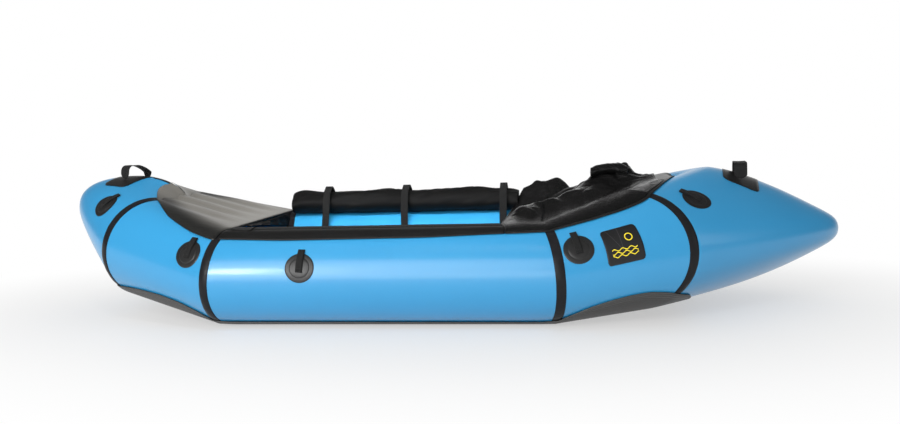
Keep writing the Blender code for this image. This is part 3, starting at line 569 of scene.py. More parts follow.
patchLook = {"tones": ((0.008, 0.008, 0.008), (0.018, 0.018, 0.018)), "thick": 0.0009, "gap": 0.0008}
patchFabric, grabPatchFabric = (
    Finish(name, Specular_IOR_Level=0.5).grained((60.0, 3.0, 0.6), (700.0, 2.0), (0.7, 0.4, -0.1), patchLook["tones"],
                                                 (0.0010, 0.3, 0.0003, 0.5), (gloss, 0.14))
    for name, gloss in (("patchFabric", 0.34), ("grabPatchFabric", 0.26)))


def onPatch(spot, across, up, gap):
    # a place on the hull, moved from the patch's middle by real lengths and lifted off by gap
    station, degrees, side = spot
    point, normal, along, turn = hullFrame(station, degrees, side)
    rise = turn.normalized()
    wanted = rise.cross(normal) * -side * across + rise * up
    aa, at, tt = along.dot(along), along.dot(turn), turn.dot(turn)
    wa, wt = wanted.dot(along), wanted.dot(turn)
    scale = aa * tt - at * at
    return offHull(station + (wa * tt - wt * at) / scale, degrees + (wt * aa - wa * at) / scale, side, gap)


def discPiece(name, spot, radius, low, high, nodes=(), dome=0.0):
    # a round patch with a rolled-off edge and, with dome, a middle that stands up a little
    count = 40
    rows, lie = [], []
    for share in (0.0, 0.25, 0.5, 0.75, 0.92, 0.985, 1.0):
        height = high + dome * (1 - share * share) if share < 0.95 else (high + low) / 2 if share < 1 else low
        angles = [2 * math.pi * c / count for c in range(count)]
        flat = [(radius * share * math.cos(a), radius * share * math.sin(a)) for a in angles]
        rows.append([onPatch(spot, x, y, height) for x, y in flat])
        lie += [(x, y, radius * share) for x, y in flat]
    normal = hullFrame(*spot)[1]
    return newPiece(name, sum(rows, []), outward(rows, lambda p: normal, True), patchFabric, "hull",
                    nodes, lie)


def eased(part):
    # -1 to 1, with its steps finer towards both ends
    return math.copysign(1 - (1 - abs(part)) ** 1.3, part)


def cornerReach(half, corner, wide, across):
    # how far a patch with round corners goes up, where it is this far across
    into = max(0, abs(across) - (wide - corner))
    return half - corner + math.sqrt(max(0, corner ** 2 - into ** 2))


# Webbing

webLook = {"tones": ((0.006, 0.006, 0.006), (0.017, 0.017, 0.017)), "rib": 0.0017}
threadLook = {"tones": ((0.012, 0.012, 0.013), (0.045, 0.045, 0.047)), "length": 0.0034, "gap": 0.0016,
              "thick": 0.00035}


def webbingFinish():
    finish = Finish("webbing", 0.62, Specular_IOR_Level=0.25, Sheen_Weight=0.04, Sheen_Roughness=0.4)
    across, along, whole = finish.lie()
    ribs = finish.wave(along, webLook["rib"])
    chain = finish.wave(across, webLook["rib"] * 1.3)
    herring = finish.wave(across + along, webLook["rib"] * 1.8)
    weave = ribs * 0.4 + chain * 0.35 + herring * 0.25
    fluff = finish.cells(finish.place(), 900.0, 2.0)
    return finish.wear(Base_Color=finish.mix(weave * 0.3 + fluff * 0.7, *webLook["tones"]),
                       Roughness=0.58 + fluff * 0.2, Normal=finish.bump(weave + fluff, 0.0005, 0.7))


def threadFinish():
    finish = Finish("stitching", 0.6, Specular_IOR_Level=0.3)
    twist = finish.cells(finish.place(), 1800.0, 1.0)
    return finish.wear(Base_Color=finish.mix(twist, *threadLook["tones"]), Normal=finish.bump(twist, 0.0003, 0.6))


webbingBlack = webbingFinish()
threadBlack = threadFinish()


def lengthOf(line):
    return sum((b - a).length for a, b in zip(line, line[1:]))


def reached(line, distance):
    # the place that lies this far along a line
    for a, b in zip(line, line[1:]):
        step = (b - a).length
        if distance <= step:
            return a.lerp(b, distance / max(1e-9, step))
        distance -= step
    return line[-1].copy()


def stitchRow(name, line, normal):
    # short threads along a line, which dip at both ends
    thick, length = threadLook["thick"], threadLook["length"]
    points, faces = [], []
    run, total = 0.0, lengthOf(line)
    while run + length < total:
        base = len(points)
        for k in range(5):
            spot = reached(line, run + length * k / 4)
            ahead = (reached(line, min(total, run + length * k / 4 + 0.0005)) - spot).normalized()
            sideways = ahead.cross(normal)
            height = thick * (1.4 * math.sin(math.pi * k / 4) - 0.4)
            for j in range(6):
                angle = 2 * math.pi * j / 6
                points.append(spot + normal * (height + thick * math.sin(angle))
                              + sideways * (thick * math.cos(angle)))
        faces += [[base + i for i in face] for face in gridFaces(5, 6, True)]
        faces += [[base + j for j in range(5, -1, -1)], [base + 24 + j for j in range(6)]]
        run += length + threadLook["gap"]
    newPiece(name, points, faces, threadBlack, "hull", ())


# Tie-downs: a round patch, a smaller one on it, and a webbing loop that lies up the hull

tieLook = {"radius": 0.043, "coverRadius": 0.030, "webWidth": 0.020, "webThick": 0.0012, "tail": 0.014,
           "past": 0.009, "stand": 0.0028, "discThick": 0.0010, "dome": 0.0006, "lay": 0.0002, "fold": 0.00144}
tiePlaces = (("stern_cap", 0.72, 44.0), ("stern_quarter", 1.825, 29.0), ("side", 2.28, 18.0),
             ("bow_quarter", 3.165, 31.0), ("bow_cap", 4.19, 55.0))


def makeTieDown(label, spot):
    gap, tail, thick, stand = patchLook["gap"], tieLook["tail"], tieLook["webThick"], tieLook["stand"]
    middle, high = gap + tieLook["discThick"], gap + 2 * tieLook["discThick"]
    discPiece(f"{label}_disc", spot, tieLook["radius"], gap, middle, [label])
    discPiece(f"{label}_cover", spot, tieLook["coverRadius"], middle, high, dome=tieLook["dome"])
    # the loop: flat on the patch, turned over at its top and back down on itself
    top, base = tieLook["radius"] + tieLook["past"], high + tieLook["lay"]
    path = [(-tail, base), (0.0, base), (top * 0.5, base), (top - 0.003, base)]
    path += [(top + tieLook["fold"] * math.sin(a), base + stand * (1 - math.cos(a)) / 2)
             for a in spread(0, math.pi, 4)]
    path += [(top * 0.75, base + stand * 1.15), (top * 0.4, base + stand * 1.1), (top * 0.12, base + stand),
             (0.0, base + stand * 0.75), (-tail * 0.9, base + thick * 1.15)]
    rows = [[onPatch(spot, tieLook["webWidth"] * (k / 4 - 0.5), up, lift) for k in range(5)] for up, lift in path]
    web = newPiece(f"{label}_webbing", sum(rows, []), gridFaces(len(rows), 5), webbingBlack, "hull", (),
                   lieOf(rows))
    thicken(web, thick, 0.0, False)
    # a stitched bar across the loop's foot
    for number, up in enumerate((-tail * 0.75, -tail * 0.2), 1):
        bar = [onPatch(spot, tieLook["webWidth"] * 0.42 * share, up, base + thick * 1.9)
               for share in (-1, -0.5, 0, 0.5, 1)]
        stitchRow(f"{label}_stitch_{number}", bar, hullFrame(*spot)[1])


for side, sideName in sides:
    for name, station, degrees in tiePlaces:
        makeTieDown(f"tie_down_{name}_{sideName}", (station, degrees, side))
print("tie-downs made")


# The square patch on the starboard bow quarter, with a plain water mark of its own

badgeLook = {"width": 0.105, "corner": 0.010, "spot": (3.495, 25.0, -1), "ink": (0.86, 0.68, 0.02),
             "black": (0.008, 0.008, 0.009), "line": (0.11, 0.11, 0.115), "waveLength": 0.024, "waveHeight": 0.0028,
             "stroke": 0.0026, "waves": (-0.030, -0.021, -0.012), "span": 0.036, "ring": (0.020, 0.018),
             "ringRadius": 0.010}


def badgeFinish():
    finish = Finish("squarePatch", Specular_IOR_Level=0.5)
    x, y, whole = finish.lie()
    fine = finish.cells(finish.place(), 800.0, 2.0)

    def inside(value, edge):
        return 1 - finish.step(abs(value), edge - 0.0004, edge + 0.0004)
    lines = [inside(y - finish.wave(x + height, badgeLook["waveLength"]) * badgeLook["waveHeight"] - height,
                    badgeLook["stroke"] / 2) for height in badgeLook["waves"]]
    ink = (lines[0] + lines[1] + lines[2]) * inside(x, badgeLook["span"])
    ringX, ringY = badgeLook["ring"]
    far = x.maths("SQRT", (x - ringX) * (x - ringX) + (y - ringY) * (y - ringY))
    ink = ink + inside(far - badgeLook["ringRadius"], badgeLook["stroke"] / 2)
    faint = inside(abs(x * 1.4 + y * 0.3 + 0.012) - y * 0.35 - 0.006, 0.0005) * 0.6
    tone = finish.mix(faint, badgeLook["black"], badgeLook["line"])
    return finish.wear(Base_Color=finish.mix(ink, tone, badgeLook["ink"]), Roughness=0.42 + fine * 0.08,
                       Normal=finish.bump(fine, 0.0003, 0.4))


def makeBadge():
    half, corner = badgeLook["width"] / 2, badgeLook["corner"]
    rows, lie = [], []
    for r in range(25):
        across = half * eased(-1 + 2 * r / 24)
        reach = cornerReach(half, corner, half, across)
        row = []
        for k in range(25):
            up = reach * eased(-1 + k / 12)
            edge = min(half - abs(across), reach - abs(up))
            height = patchLook["gap"] + patchLook["thick"] * min(1, 0.3 + edge / 0.0012)
            row.append(onPatch(badgeLook["spot"], across, up, height))
            lie.append((across, up, 0.0))
        rows.append(row)
    normal = hullFrame(*badgeLook["spot"])[1]
    sheetPiece("side_patch_panel", rows, badgeFinish(), lambda p: normal, 0.0005, ["side_patch"],
               inward=True, lie=lie)


makeBadge()
print("square patch made")


# Floor

floorLook = {"gap": 0.0028, "thick": 0.0018, "columns": 14, "rows": 96,
             "edge": ((0.04, -128.0), (0.25, -118.0), (0.50, -98.0), (0.70, -76.0), (0.84, -58.0), (1.00, -46.0),
                      (1.15, -41.0), (1.31, -36.5), (1.53, -34.0), (1.73, -36.0), (1.90, -45.0), (1.96, -55.0),
                      (2.01, -61.0), (2.98, -64.0), (3.06, -52.0), (3.25, -39.0), (3.40, -34.0), (3.56, -31.0),
                      (3.72, -31.0), (3.95, -38.0), (4.11, -49.0), (4.20, -60.0), (4.42, -84.0), (4.55, -98.0),
                      (4.75, -114.0), (4.96, -128.0)),
             "inboard": -150.0, "tones": ((0.022, 0.022, 0.022), (0.060, 0.059, 0.057)),
             "weld": (0.105, 0.103, 0.100), "weldSpacing": 0.0085, "weldReach": (0.026, 0.030)}


def levelAngle(station, low, high):
    # where between two angles the hull is level athwart, so that a taut cloth leaves it there
    falling = hullFrame(station, low)[1].y
    for _ in range(30):
        middle = (low + high) / 2
        if hullFrame(station, middle)[1].y * falling > 0:
            low = middle
        else:
            high = middle
    return (low + high) / 2


def stretchedRow(station, edge, far, wrap, span, gap):
    liftOff = levelAngle(station, edge, far)
    near = [offHull(station, edge + (liftOff - edge) * k / wrap, -1, gap) for k in range(wrap + 1)]
    other = [Vector((p.x, -p.y, p.z)) for p in reversed(near)]
    return near + [near[-1].lerp(other[0], k / span) for k in range(1, span)] + other


def stretchedRows(look, edge, rows, wrap, span, gap, lift=0.0, start=None, end=None):
    # rows of a cloth that is laid down on both tubes and stretched taut between them
    table = look[edge]
    return [stretchedRow(station, place(table, station) + lift, look["inboard"], wrap, span, gap)
            for station in spread(start or table[0][0], end or table[-1][0], rows)]


def floorFinish():
    finish = Finish("floorFabric", Specular_IOR_Level=0.45)
    edge = finish.edges()[1]
    ridges = finish.wave(edge, floorLook["weldSpacing"]) * (1 - finish.step(edge, *floorLook["weldReach"]))
    fine = finish.cells(finish.place(), 620.0, 2.0)
    dirt = finish.cells(finish.place(), 9.0, 4.0, 0.6)
    tone = finish.mix(dirt * 0.6 + fine * 0.5, *floorLook["tones"])
    tone = finish.mix(finish.step(ridges, 0.55, 0.95) * 0.6, tone, floorLook["weld"])
    bent = finish.bump(ridges, 0.0009, 0.8)
    return finish.wear(Base_Color=tone, Roughness=0.44 + dirt * 0.15, Normal=finish.bump(fine, 0.0004, 0.5, bent))


def makeFloor():
    rows = stretchedRows(floorLook, "edge", floorLook["rows"], floorLook["columns"], 12, floorLook["gap"])
    floor = sheetPiece("floor_cloth", rows, floorFinish(), lambda p: Vector((0, 0, -1)), floorLook["thick"],
                       ["floor_panel"], even=False)


makeFloor()
print("floor made")


# Decks

deckLook = {"gap": 0.0028, "thick": 0.0012, "ripple": 0.0036, "rippleSpacing": 0.125,
            "rearEdge": ((0.06, 134.0), (0.18, 132.5), (0.39, 121.0), (0.65, 109.0), (0.78, 104.0), (0.97, 97.0),
                         (1.15, 85.0), (1.41, 67.0), (1.60, 60.0), (1.73, 56.0), (1.85, 55.0), (1.99, 55.0)),
            "frontEdge": ((2.87, 60.0), (3.04, 63.5), (3.18, 62.5), (3.35, 62.0), (3.62, 63.0), (3.82, 66.0),
                          (3.94, 70.0), (4.02, 76.0), (4.15, 82.0), (4.36, 94.0), (4.55, 104.0), (4.75, 116.0),
                          (4.97, 127.0)),
            # tones: the cloth's own grey, lightened further as a painted reflection of the white backdrop that the
            # level deck mirrors
            "inboard": 160.0, "rows": 60, "tones": ((0.128, 0.121, 0.109), (0.178, 0.170, 0.152)),
            # the near-black colour painted in as shade where the deck wraps down over the tubes
            "wrapShade": (0.014, 0.014, 0.013)}


def hullTree():
    # the two caps as one surface, to keep the decks' tips above them
    points, faces = [], []
    for name in ("stern_cap", "bow_cap"):
        for side, sideName in sides:
            mesh = bpy.data.objects[f"{name}_{sideName}_fabric"].data
            base = len(points)
            points += [v.co.copy() for v in mesh.vertices]
            faces += [[base + i for i in face.vertices] for face in mesh.polygons]
    return BVHTree.FromPolygons(points, faces)


capTree = hullTree()


def clearOfCaps(point, gap):
    found = capTree.ray_cast(Vector((point.x, point.y, 1.0)), Vector((0, 0, -1)))[0]
    if found is None or found.z + gap < point.z:
        return point
    return Vector((point.x, point.y, found.z + gap))


def deckFinish():
    finish = Finish("deckCloth", Specular_IOR_Level=0.55)
    along, edge = finish.edges()
    spot = finish.place()
    fine = finish.cells(spot, 900.0, 2.0)
    streak = finish.cells(finish.stretch(spot, (3.0, 26.0, 9.0)), 1.0, 3.0, 0.6)
    crease = finish.cells(finish.stretch(spot, (14.0, 60.0, 20.0)), 1.0, 4.0, 0.65)
    # painted shade: the deck is darkened near its long edges where it wraps down over the tubes, though the cloth is
    # one colour; the stern tip is left out
    paintedWrapShade = (1 - finish.step(edge, 0.03, 0.13)) * finish.step(along, 0.07, 0.22)
    tone = finish.mix(paintedWrapShade, finish.mix(streak * 0.8 + fine * 0.3, *deckLook["tones"]), deckLook["wrapShade"])
    bent = finish.bump(crease, 0.0035, 0.30)
    return finish.wear(Base_Color=tone, Roughness=0.30 + streak * 0.12, Normal=finish.bump(fine, 0.0003, 0.4, bent))


def skirtFinish(name, gloss, low, high, crinkle, shine):
    finish = Finish(name, Specular_IOR_Level=shine)
    spot = finish.place()
    fine = finish.cells(spot, 1100.0, 2.0)
    soft = finish.cells(spot, 17.0, 4.0, 0.6)
    ridge = abs(finish.cells(spot, 55.0, 4.0, 0.7) - 0.5)
    bent = finish.bump(ridge, crinkle, 0.7)
    return finish.wear(Base_Color=finish.mix(soft * 0.6 + fine * 0.4, low, high), Roughness=gloss + soft * 0.14,
                       Normal=finish.bump(fine, 0.0003, 0.4, bent))


skirtMatte = skirtFinish("skirtNylon", 0.48, (0.003, 0.003, 0.003), (0.007, 0.007, 0.007), 0.0030, 0.13)
skirtGloss = skirtFinish("skirtCoated", 0.13, (0.003, 0.003, 0.003), (0.007, 0.007, 0.007), 0.0040, 0.33)
deckGloss = skirtFinish("frontDeckCloth", 0.26, (0.007, 0.007, 0.007), (0.016, 0.016, 0.015), 0.0020, 0.40)


def makeRearDeck():
    rows = stretchedRows(deckLook, "rearEdge", deckLook["rows"], 12, 44, deckLook["gap"])
    for share, row in zip(spread(0, 1, deckLook["rows"]), rows):
        fade = min(1, 2.2 * math.sin(math.pi * min(1, share * 1.04)))
        for k, point in enumerate(row):
            swell = math.cos(2 * math.pi * point.y / deckLook["rippleSpacing"] + 1.2 + 2.2 * noise.noise(point * 2.5))
            swell += 0.6 * noise.noise(Vector((point.x * 3, point.y * 21, 4)))
            hold = min(1, max(0, (k - 6) / 12), max(0, (len(row) - 7 - k) / 12))
            point.z += deckLook["ripple"] * swell * fade * hold
            row[k] = clearOfCaps(point, deckLook["gap"])
    deck = sheetPiece("rear_deck_cloth", rows, deckFinish(), upward, deckLook["thick"], ["rear_deck"],
                      even=False)
    # a hem of doubled cloth turned under along the cockpit edge
    front = rows[-1][4:-4]
    hem = [[p + Vector((0.004 * math.sin(angle), 0, 0.0008 - 0.003 * (1 - math.cos(angle)))) for p in front]
           for angle in spread(0, math.pi, 8)]
    hem.append([p + Vector((-0.020, 0, -0.0052)) for p in front])
    sheetPiece("rear_deck_hem", hem, skirtMatte, forward, 0.0006)


def makeFrontDeck():
    rows = [[clearOfCaps(p, deckLook["gap"]) for p in row]
            for row in stretchedRows(deckLook, "frontEdge", deckLook["rows"], 10, 40, deckLook["gap"])]
    deck = sheetPiece("front_deck_cloth", rows, deckGloss, upward, deckLook["thick"], ["front_deck"],
                      even=False)


makeRearDeck()
makeFrontDeck()
print("decks made")


# Deck rim: a sleeve along each side tube and the hook strip on top of it

rimLook = {"edge": ((2.004, 58.0), (2.20, 54.0), (2.42, 55.0), (2.64, 56.0), (2.866, 61.0)), "top": 93.0,
           "gap": 0.0019, "sleeve": 80.0, "sleeveRise": 0.0045, "overlap": 3.0, "start": 2.004, "end": 2.869,
           "rows": 120, "thick": 0.0012, "tones": ((0.005, 0.005, 0.005), (0.012, 0.012, 0.012)),
           "hookLift": 0.0030, "hookEdge": 0.0012, "uneven": 0.0005, "tabLength": 0.066, "tabWidth": 0.034,
           "tabSpot": (2.055, 82.0, -1), "tabLift": 0.0058, "tabCurl": 0.0018, "tabThick": 0.0018}
hookBlack = Finish("hookStrip", 0.85, Specular_IOR_Level=0.15, Sheen_Weight=0.04, Sheen_Roughness=0.5).grained(
    (240.0, 3.0, 0.7), (1300.0, 3.0, 0.8), (0.4, 0.7, -0.1), rimLook["tones"], (0.0012, 0.6, 0.0008, 0.9))
sleeveCloth = skirtFinish("sleeveCloth", 0.38, (0.006, 0.006, 0.006), (0.012, 0.012, 0.012), 0.0012, 0.18)


def makeRims():
    gap, high, top = rimLook["gap"], rimLook["sleeve"], rimLook["top"]
    low = high - rimLook["overlap"]
    for side, sideName in sides:
        sleeve, hooks = [], []
        for station in spread(rimLook["start"], rimLook["end"], rimLook["rows"]):
            wobble = noise.noise(Vector((station * 22, side * 3, 0)))
            edge = place(rimLook["edge"], station)
            rise = rimLook["sleeveRise"] * (1 + 0.12 * wobble)
            sleeve.append([offHull(station, edge + (high - edge) * share, side,
                                   gap + rise * math.sin(math.pi * share) ** 0.7) for share in spread(0, 1, 12)])
            under = gap + rimLook["uneven"] * wobble
            row = [offHull(station, low + (top - low) * share, side, under + rimLook["hookLift"])
                   for share in spread(0, 1, 10)]
            for k, degrees in ((0, low), (-1, top + 0.3 * wobble)):
                row[k] = offHull(station, degrees, side, under + rimLook["hookEdge"])
            hooks.append(row)
        sheetPiece(f"deck_rim_{sideName}_sleeve", sleeve, sleeveCloth, upward, rimLook["thick"],
                   [f"deck_rim_{sideName}"])
        sheetPiece(f"deck_rim_{sideName}_hooks", hooks, hookBlack, upward, rimLook["thick"])
    # the tab at the starboard rim's stern end
    rows = [[onPatch(rimLook["tabSpot"], rimLook["tabLength"] * (k / 12 - 0.5),
                     rimLook["tabWidth"] * (j / 8 - 0.5) * (1.05 - 0.1 * k / 12),
                     rimLook["tabLift"] + rimLook["tabCurl"] * abs(k / 6 - 1) ** 4)
             for j in range(9)] for k in range(13)]
    sheetPiece("rim_tab_flap", rows, webbingBlack, upward, rimLook["tabThick"], ["rim_tab"])


makeRims()
print("deck rims made")


# Spray skirt, rolled on top of the port tube: one sheet wound into a flat roll

rollLook = {"start": -0.5690, "end": 0.2500, "rows": 150, "perTurn": 40, "turns": 2.4, "first": 0.55,
            "depth": 0.044, "height": 0.048, "angle": 105.0, "lay": 0.0006, "cloth": 0.0007, "wind": 0.0055,
            "fold": 0.0050, "crease": 0.0035, "strapShares": (0.168, 0.472, 0.833), "pinch": 0.12,
            "pinchReach": 0.045, "endReach": 0.05, "endDepth": 0.15}
strapPlaces = [sideEnds[0] + hull["sideLength"] * share for share in rollLook["strapShares"]]
portTube = Vector((0, hull["spacing"] / 2, hull["tubeHeight"]))


def roundPort(degrees, radius):
    angle = math.radians(degrees)
    return Vector((0, portTube.y + radius * math.cos(angle), portTube.z + radius * math.sin(angle)))


rollTilt = math.radians(rollLook["angle"])
rollOut = Vector((0, math.cos(rollTilt), math.sin(rollTilt)))
rollUp = Vector((0, -math.sin(rollTilt), math.cos(rollTilt)))
rollMiddle = roundPort(rollLook["angle"], hull["tube"] + rollLook["lay"] + rollLook["depth"])


def onRoll(around, depth, height):
    # a place round the roll's flat section
    return rollMiddle + rollOut * (depth * math.cos(around)) + rollUp * (height * math.sin(around))


def rollPoint(turn, x):
    # turn counts windings from the outside in; the first one lies against the tube
    around = 2 * math.pi * turn
    shrink = rollLook["wind"] * (turn - rollLook["first"])
    pinch = max(math.exp(-((x - spot) / rollLook["pinchReach"]) ** 2) for spot in strapPlaces)
    slant = math.sin(x * 19 + around + 2.5 * noise.noise(Vector((x * 5, turn, 0))))
    uneven = noise.noise(Vector((x * 11, math.cos(around) * 1.3, math.sin(around) * 1.3 + 7)))
    fold = rollLook["fold"] * (0.4 * slant - 0.3 + 1.2 * uneven)
    sharp = -rollLook["crease"] * max(0, noise.noise(Vector((x * 26 + around * 1.8, around * 0.7, 3)))) ** 0.5
    free = 0.5 + 0.5 * math.cos(around)
    swell = (fold + sharp) * (0.25 + 0.75 * free) - rollLook["pinch"] * pinch * rollLook["depth"] * free
    # both ends are drawn in towards the tube
    tail = max(0, 1 - min(x - rollLook["start"], (rollLook["end"] - x) * 0.6) / rollLook["endReach"])
    depth = (rollLook["depth"] - shrink) * (1 - rollLook["endDepth"] * tail * tail)
    point = onRoll(around, depth + swell, rollLook["height"] - shrink * 1.2 + swell)
    inner = rollOut * (rollLook["depth"] - depth)
    return Vector((x, point.y - inner.y, point.z - inner.z))


def makeRoll():
    count = int(rollLook["perTurn"] * rollLook["turns"])
    turns = [rollLook["first"] + k / rollLook["perTurn"] for k in range(count + 1)]
    rows = [[rollPoint(turn, x) for turn in turns]
            for x in spread(rollLook["start"], rollLook["end"], rollLook["rows"])]
    roll = sheetPiece("spray_skirt_rolled", rows, skirtMatte, aroundX(rollMiddle), rollLook["cloth"],
                      ["spray_skirt_roll"], even=False)


makeRoll()
print("rolled skirt made")


# Straps round the roll

strapLook = {"width": 0.025, "thick": 0.0014, "lay": 0.0050, "gap": 0.0014, "rise": 0.0065, "riseReach": 0.016,
             "start": 84, "tails": (196, 176, 200), "spacing": 0.005, "loose": 2, "looseStep": 0.004,
             "looseSway": 0.006, "lean": 0.004, "twist": 0.10}


def convexOutline(points):
    def turn(a, b, c):
        return (b.y - a.y) * (c.z - a.z) - (b.z - a.z) * (c.y - a.y)
    ordered = sorted(points, key=lambda p: (p.y, p.z))
    chains = []
    for group in (ordered, ordered[::-1]):
        chain = []
        for p in group:
            while len(chain) > 1 and turn(chain[-2], chain[-1], p) <= 0:
                chain.pop()
            chain.append(p)
        chains += chain[:-1]
    return chains


def smoothLine(points, spacing, rounds=2):
    # evenly spaced points along a line, with its corners rounded off
    total = lengthOf(points)
    line = [reached(points, run) for run in spread(0, total, max(2, round(total / spacing)))]
    for _ in range(rounds):
        line = [line[0]] + [(a + b * 2 + c) / 4 for a, b, c in zip(line, line[1:], line[2:])] + [line[-1]]
    return line


def strapLine(tail, loose):
    # from the tube's top round the roll and back onto the tube, down to the tail's angle
    gap = strapLook["gap"]
    tube = [roundPort(a, hull["tube"] + strapLook["lay"]) for a in range(strapLook["start"], tail + 1, 4)]
    roll = [onRoll(a * math.pi / 24, rollLook["depth"] + gap, rollLook["height"] + gap) for a in range(48)]
    outline = convexOutline(tube + roll)
    begin = min(range(len(outline)), key=lambda k: (outline[k] - tube[0]).length)
    ordered = outline[begin:] + outline[:begin]
    finish = min(range(len(ordered)), key=lambda k: (ordered[k] - tube[-1]).length)
    line = smoothLine(ordered[:finish + 1], strapLook["spacing"])
    top = max(line, key=lambda p: p.z)
    for p in line:
        # the strap stands off the roll's top as a low round loop
        p.z += strapLook["rise"] * math.exp(-((p - top).length / strapLook["riseReach"]) ** 2)
    for k in range(7 if loose else 0):
        # a loose tail that bends away from the tube
        ahead = (line[-1] - line[-2]).normalized() * strapLook["looseStep"]
        line.append(line[-1] + ahead + Vector((0, -0.0009 * k, -0.0003)))
    return line


def makeStraps():
    for number, (x, tail) in enumerate(zip(strapPlaces, strapLook["tails"]), 1):
        loose = number == strapLook["loose"]
        line = strapLine(tail, loose)
        lean = strapLook["lean"] * math.sin(number * 2.1)
        rows = []
        for k, p in enumerate(line):
            share = k / (len(line) - 1)
            sway = lean * math.sin(math.pi * share) + (strapLook["looseSway"] * share ** 4 if loose else 0)
            ahead = (line[min(k + 1, len(line) - 1)] - line[max(k - 1, 0)]).normalized()
            twist = strapLook["twist"] * math.sin(share * 5 + number)
            sideways = (Vector((1, 0, 0)) + ahead * twist).normalized()
            rows.append([Vector((x + sway, p.y, p.z)) + sideways * (strapLook["width"] * (j / 4 - 0.5))
                         for j in range(5)])
        strap = sheetPiece(f"roll_strap_{number}_webbing", rows, webbingBlack, aroundX(portTube), strapLook["thick"],
                           [f"roll_strap_{number}"])
        softenEdge(strap, strapLook["thick"] * 0.3)


makeStraps()
print("straps made")


# The skirt's tail: cloth that hangs from the rear deck's front edge towards the roll

tailLook = {"from": -0.19, "to": 0.262, "low": 0.004, "drop": 0.052, "x": -0.588, "top": 0.2895, "sag": 0.003,
            "lean": 0.012, "fold": 0.004, "uneven": 0.003, "cloth": 0.0007}


def makeTail():
    rows = []
    for share in spread(0, 1, 40):
        y = tailLook["from"] + (tailLook["to"] - tailLook["from"]) * share
        drop = tailLook["low"] + tailLook["drop"] * share ** 1.6
        top = tailLook["top"] - tailLook["sag"] * math.sin(math.pi * share)
        row = []
        for part in spread(0, 1, 12):
            fold = tailLook["fold"] * math.sin(y * 70 + part * 3) * part
            fold += tailLook["uneven"] * noise.noise(Vector((y * 30, part * 3, 2)))
            row.append(Vector((tailLook["x"] + tailLook["lean"] * part + fold, y, top - drop * part)))
        rows.append(row)
    tail = sheetPiece("spray_skirt_tail", rows, skirtMatte, forward, tailLook["cloth"], even=False)


makeTail()


# The skirt's front part, bunched on the front deck and gathered towards the bow

bunchLook = {"peak": 0.103, "spread": 0.050, "least": 0.0035, "cloth": 0.0006, "rows": 170, "wrap": 14, "span": 130,
             "start": 2.875, "end": 4.36, "gather": (0.700, -0.060), "gatherFolds": 15.0, "gatherHeight": 0.0060,
             "crumple": 0.0034, "crease": 0.0011, "crush": 0.0060, "crushWide": 0.036, "full": 0.030,
             "shove": 0.016, "lay": 0.0006, "capGap": 0.002, "lift": 3}
bunchRidges = (  # where each ridge starts and ends, its shares of the peak there, and its width
    ((0.220, -0.244), (0.440, -0.076), 0.16, 0.44, 1.1),
    ((0.440, -0.076), (0.580, 0.066), 0.44, 0.72, 1.2),
    ((0.490, -0.113), (0.560, 0.055), 0.30, 0.58, 0.8),
    ((0.300, -0.190), (0.370, -0.130), 0.40, 0.46, 0.9),
    ((0.268, 0.262), (0.320, 0.262), 0.62, 0.88, 0.9),
    ((0.320, 0.262), (0.380, 0.258), 0.90, 0.84, 1.0),
    ((0.400, 0.150), (0.480, 0.055), 0.30, 0.52, 0.9),
    ((0.540, 0.046), (0.660, 0.000), 0.60, 0.14, 1.0),
)


def ridgeHeight(x, y):
    total = 0.0
    for start, end, low, high, wide in bunchRidges:
        run, offset = Vector(end) - Vector(start), Vector((x, y)) - Vector(start)
        share = min(1, max(0, offset.dot(run) / run.dot(run)))
        away = (offset - run * share).length / (wide * bunchLook["spread"])
        total = max(total, bunchLook["peak"] * (low + (high - low) * share) * math.exp(-away ** 2.2))
    return total


def creased(point, scale, octaves):
    # sharp valleys and round backs, as crumpled cloth has
    total, size = 0.0, 1.0
    for _ in range(octaves):
        total += size * (abs(noise.noise(point * scale)) - 0.25)
        scale, size, point = scale * 2.1, size * 0.5, point + Vector((3.1, 1.7, 5.3))
    return total


def gatherFold(x, y):
    # folds with round backs and sharp valleys that run to the gathered end
    gatherX, gatherY = bunchLook["gather"]
    turn = bunchLook["gatherFolds"] * math.atan2(y - gatherY, gatherX - x)
    far = math.hypot(x - gatherX, y - gatherY)
    warp = noise.noise(Vector((x * 5, y * 5, 1)))
    fold = abs(math.sin(turn / 2 + 2.2 * warp)) - 0.6
    fold += 0.45 * (abs(math.sin(turn * 1.15 + 4.0 * warp + 1)) - 0.6)
    return fold * 2 * bunchLook["gatherHeight"] * min(1, far / 0.10) * (0.45 + 0.55 * math.exp(-far / 0.30))


def bunchPoint(base):
    x, y = base.x, base.y
    spot = Vector((x, y, 0.0))
    body = ridgeHeight(x, y)
    full = min(1, body / bunchLook["full"])
    crumple = bunchLook["crumple"] * creased(spot, 13.0, 2) * 2
    # the coated cloth is crushed to small facets along its near stern edge
    share = min(1, max(0, (x - 0.22) / 0.20))
    crushed = math.exp(-((y + 0.25 - 0.08 * share) / bunchLook["crushWide"]) ** 2 - ((share - 0.5) / 0.6) ** 4)
    crease = (bunchLook["crease"] + bunchLook["crush"] * crushed) * creased(spot + Vector((5, 5, 5)), 48.0, 3)
    height = (bunchLook["least"] + body + (gatherFold(x, y) + crumple) * (0.25 + 0.75 * full)
              + crease * (0.35 + 0.65 * full))
    shove = Vector((noise.noise(spot * 16 + Vector((9, 0, 0))), noise.noise(spot * 16 + Vector((0, 9, 0))), 0))
    return base + Vector((0, 0, max(bunchLook["least"] * 0.6, height))) + shove * bunchLook["shove"] * full


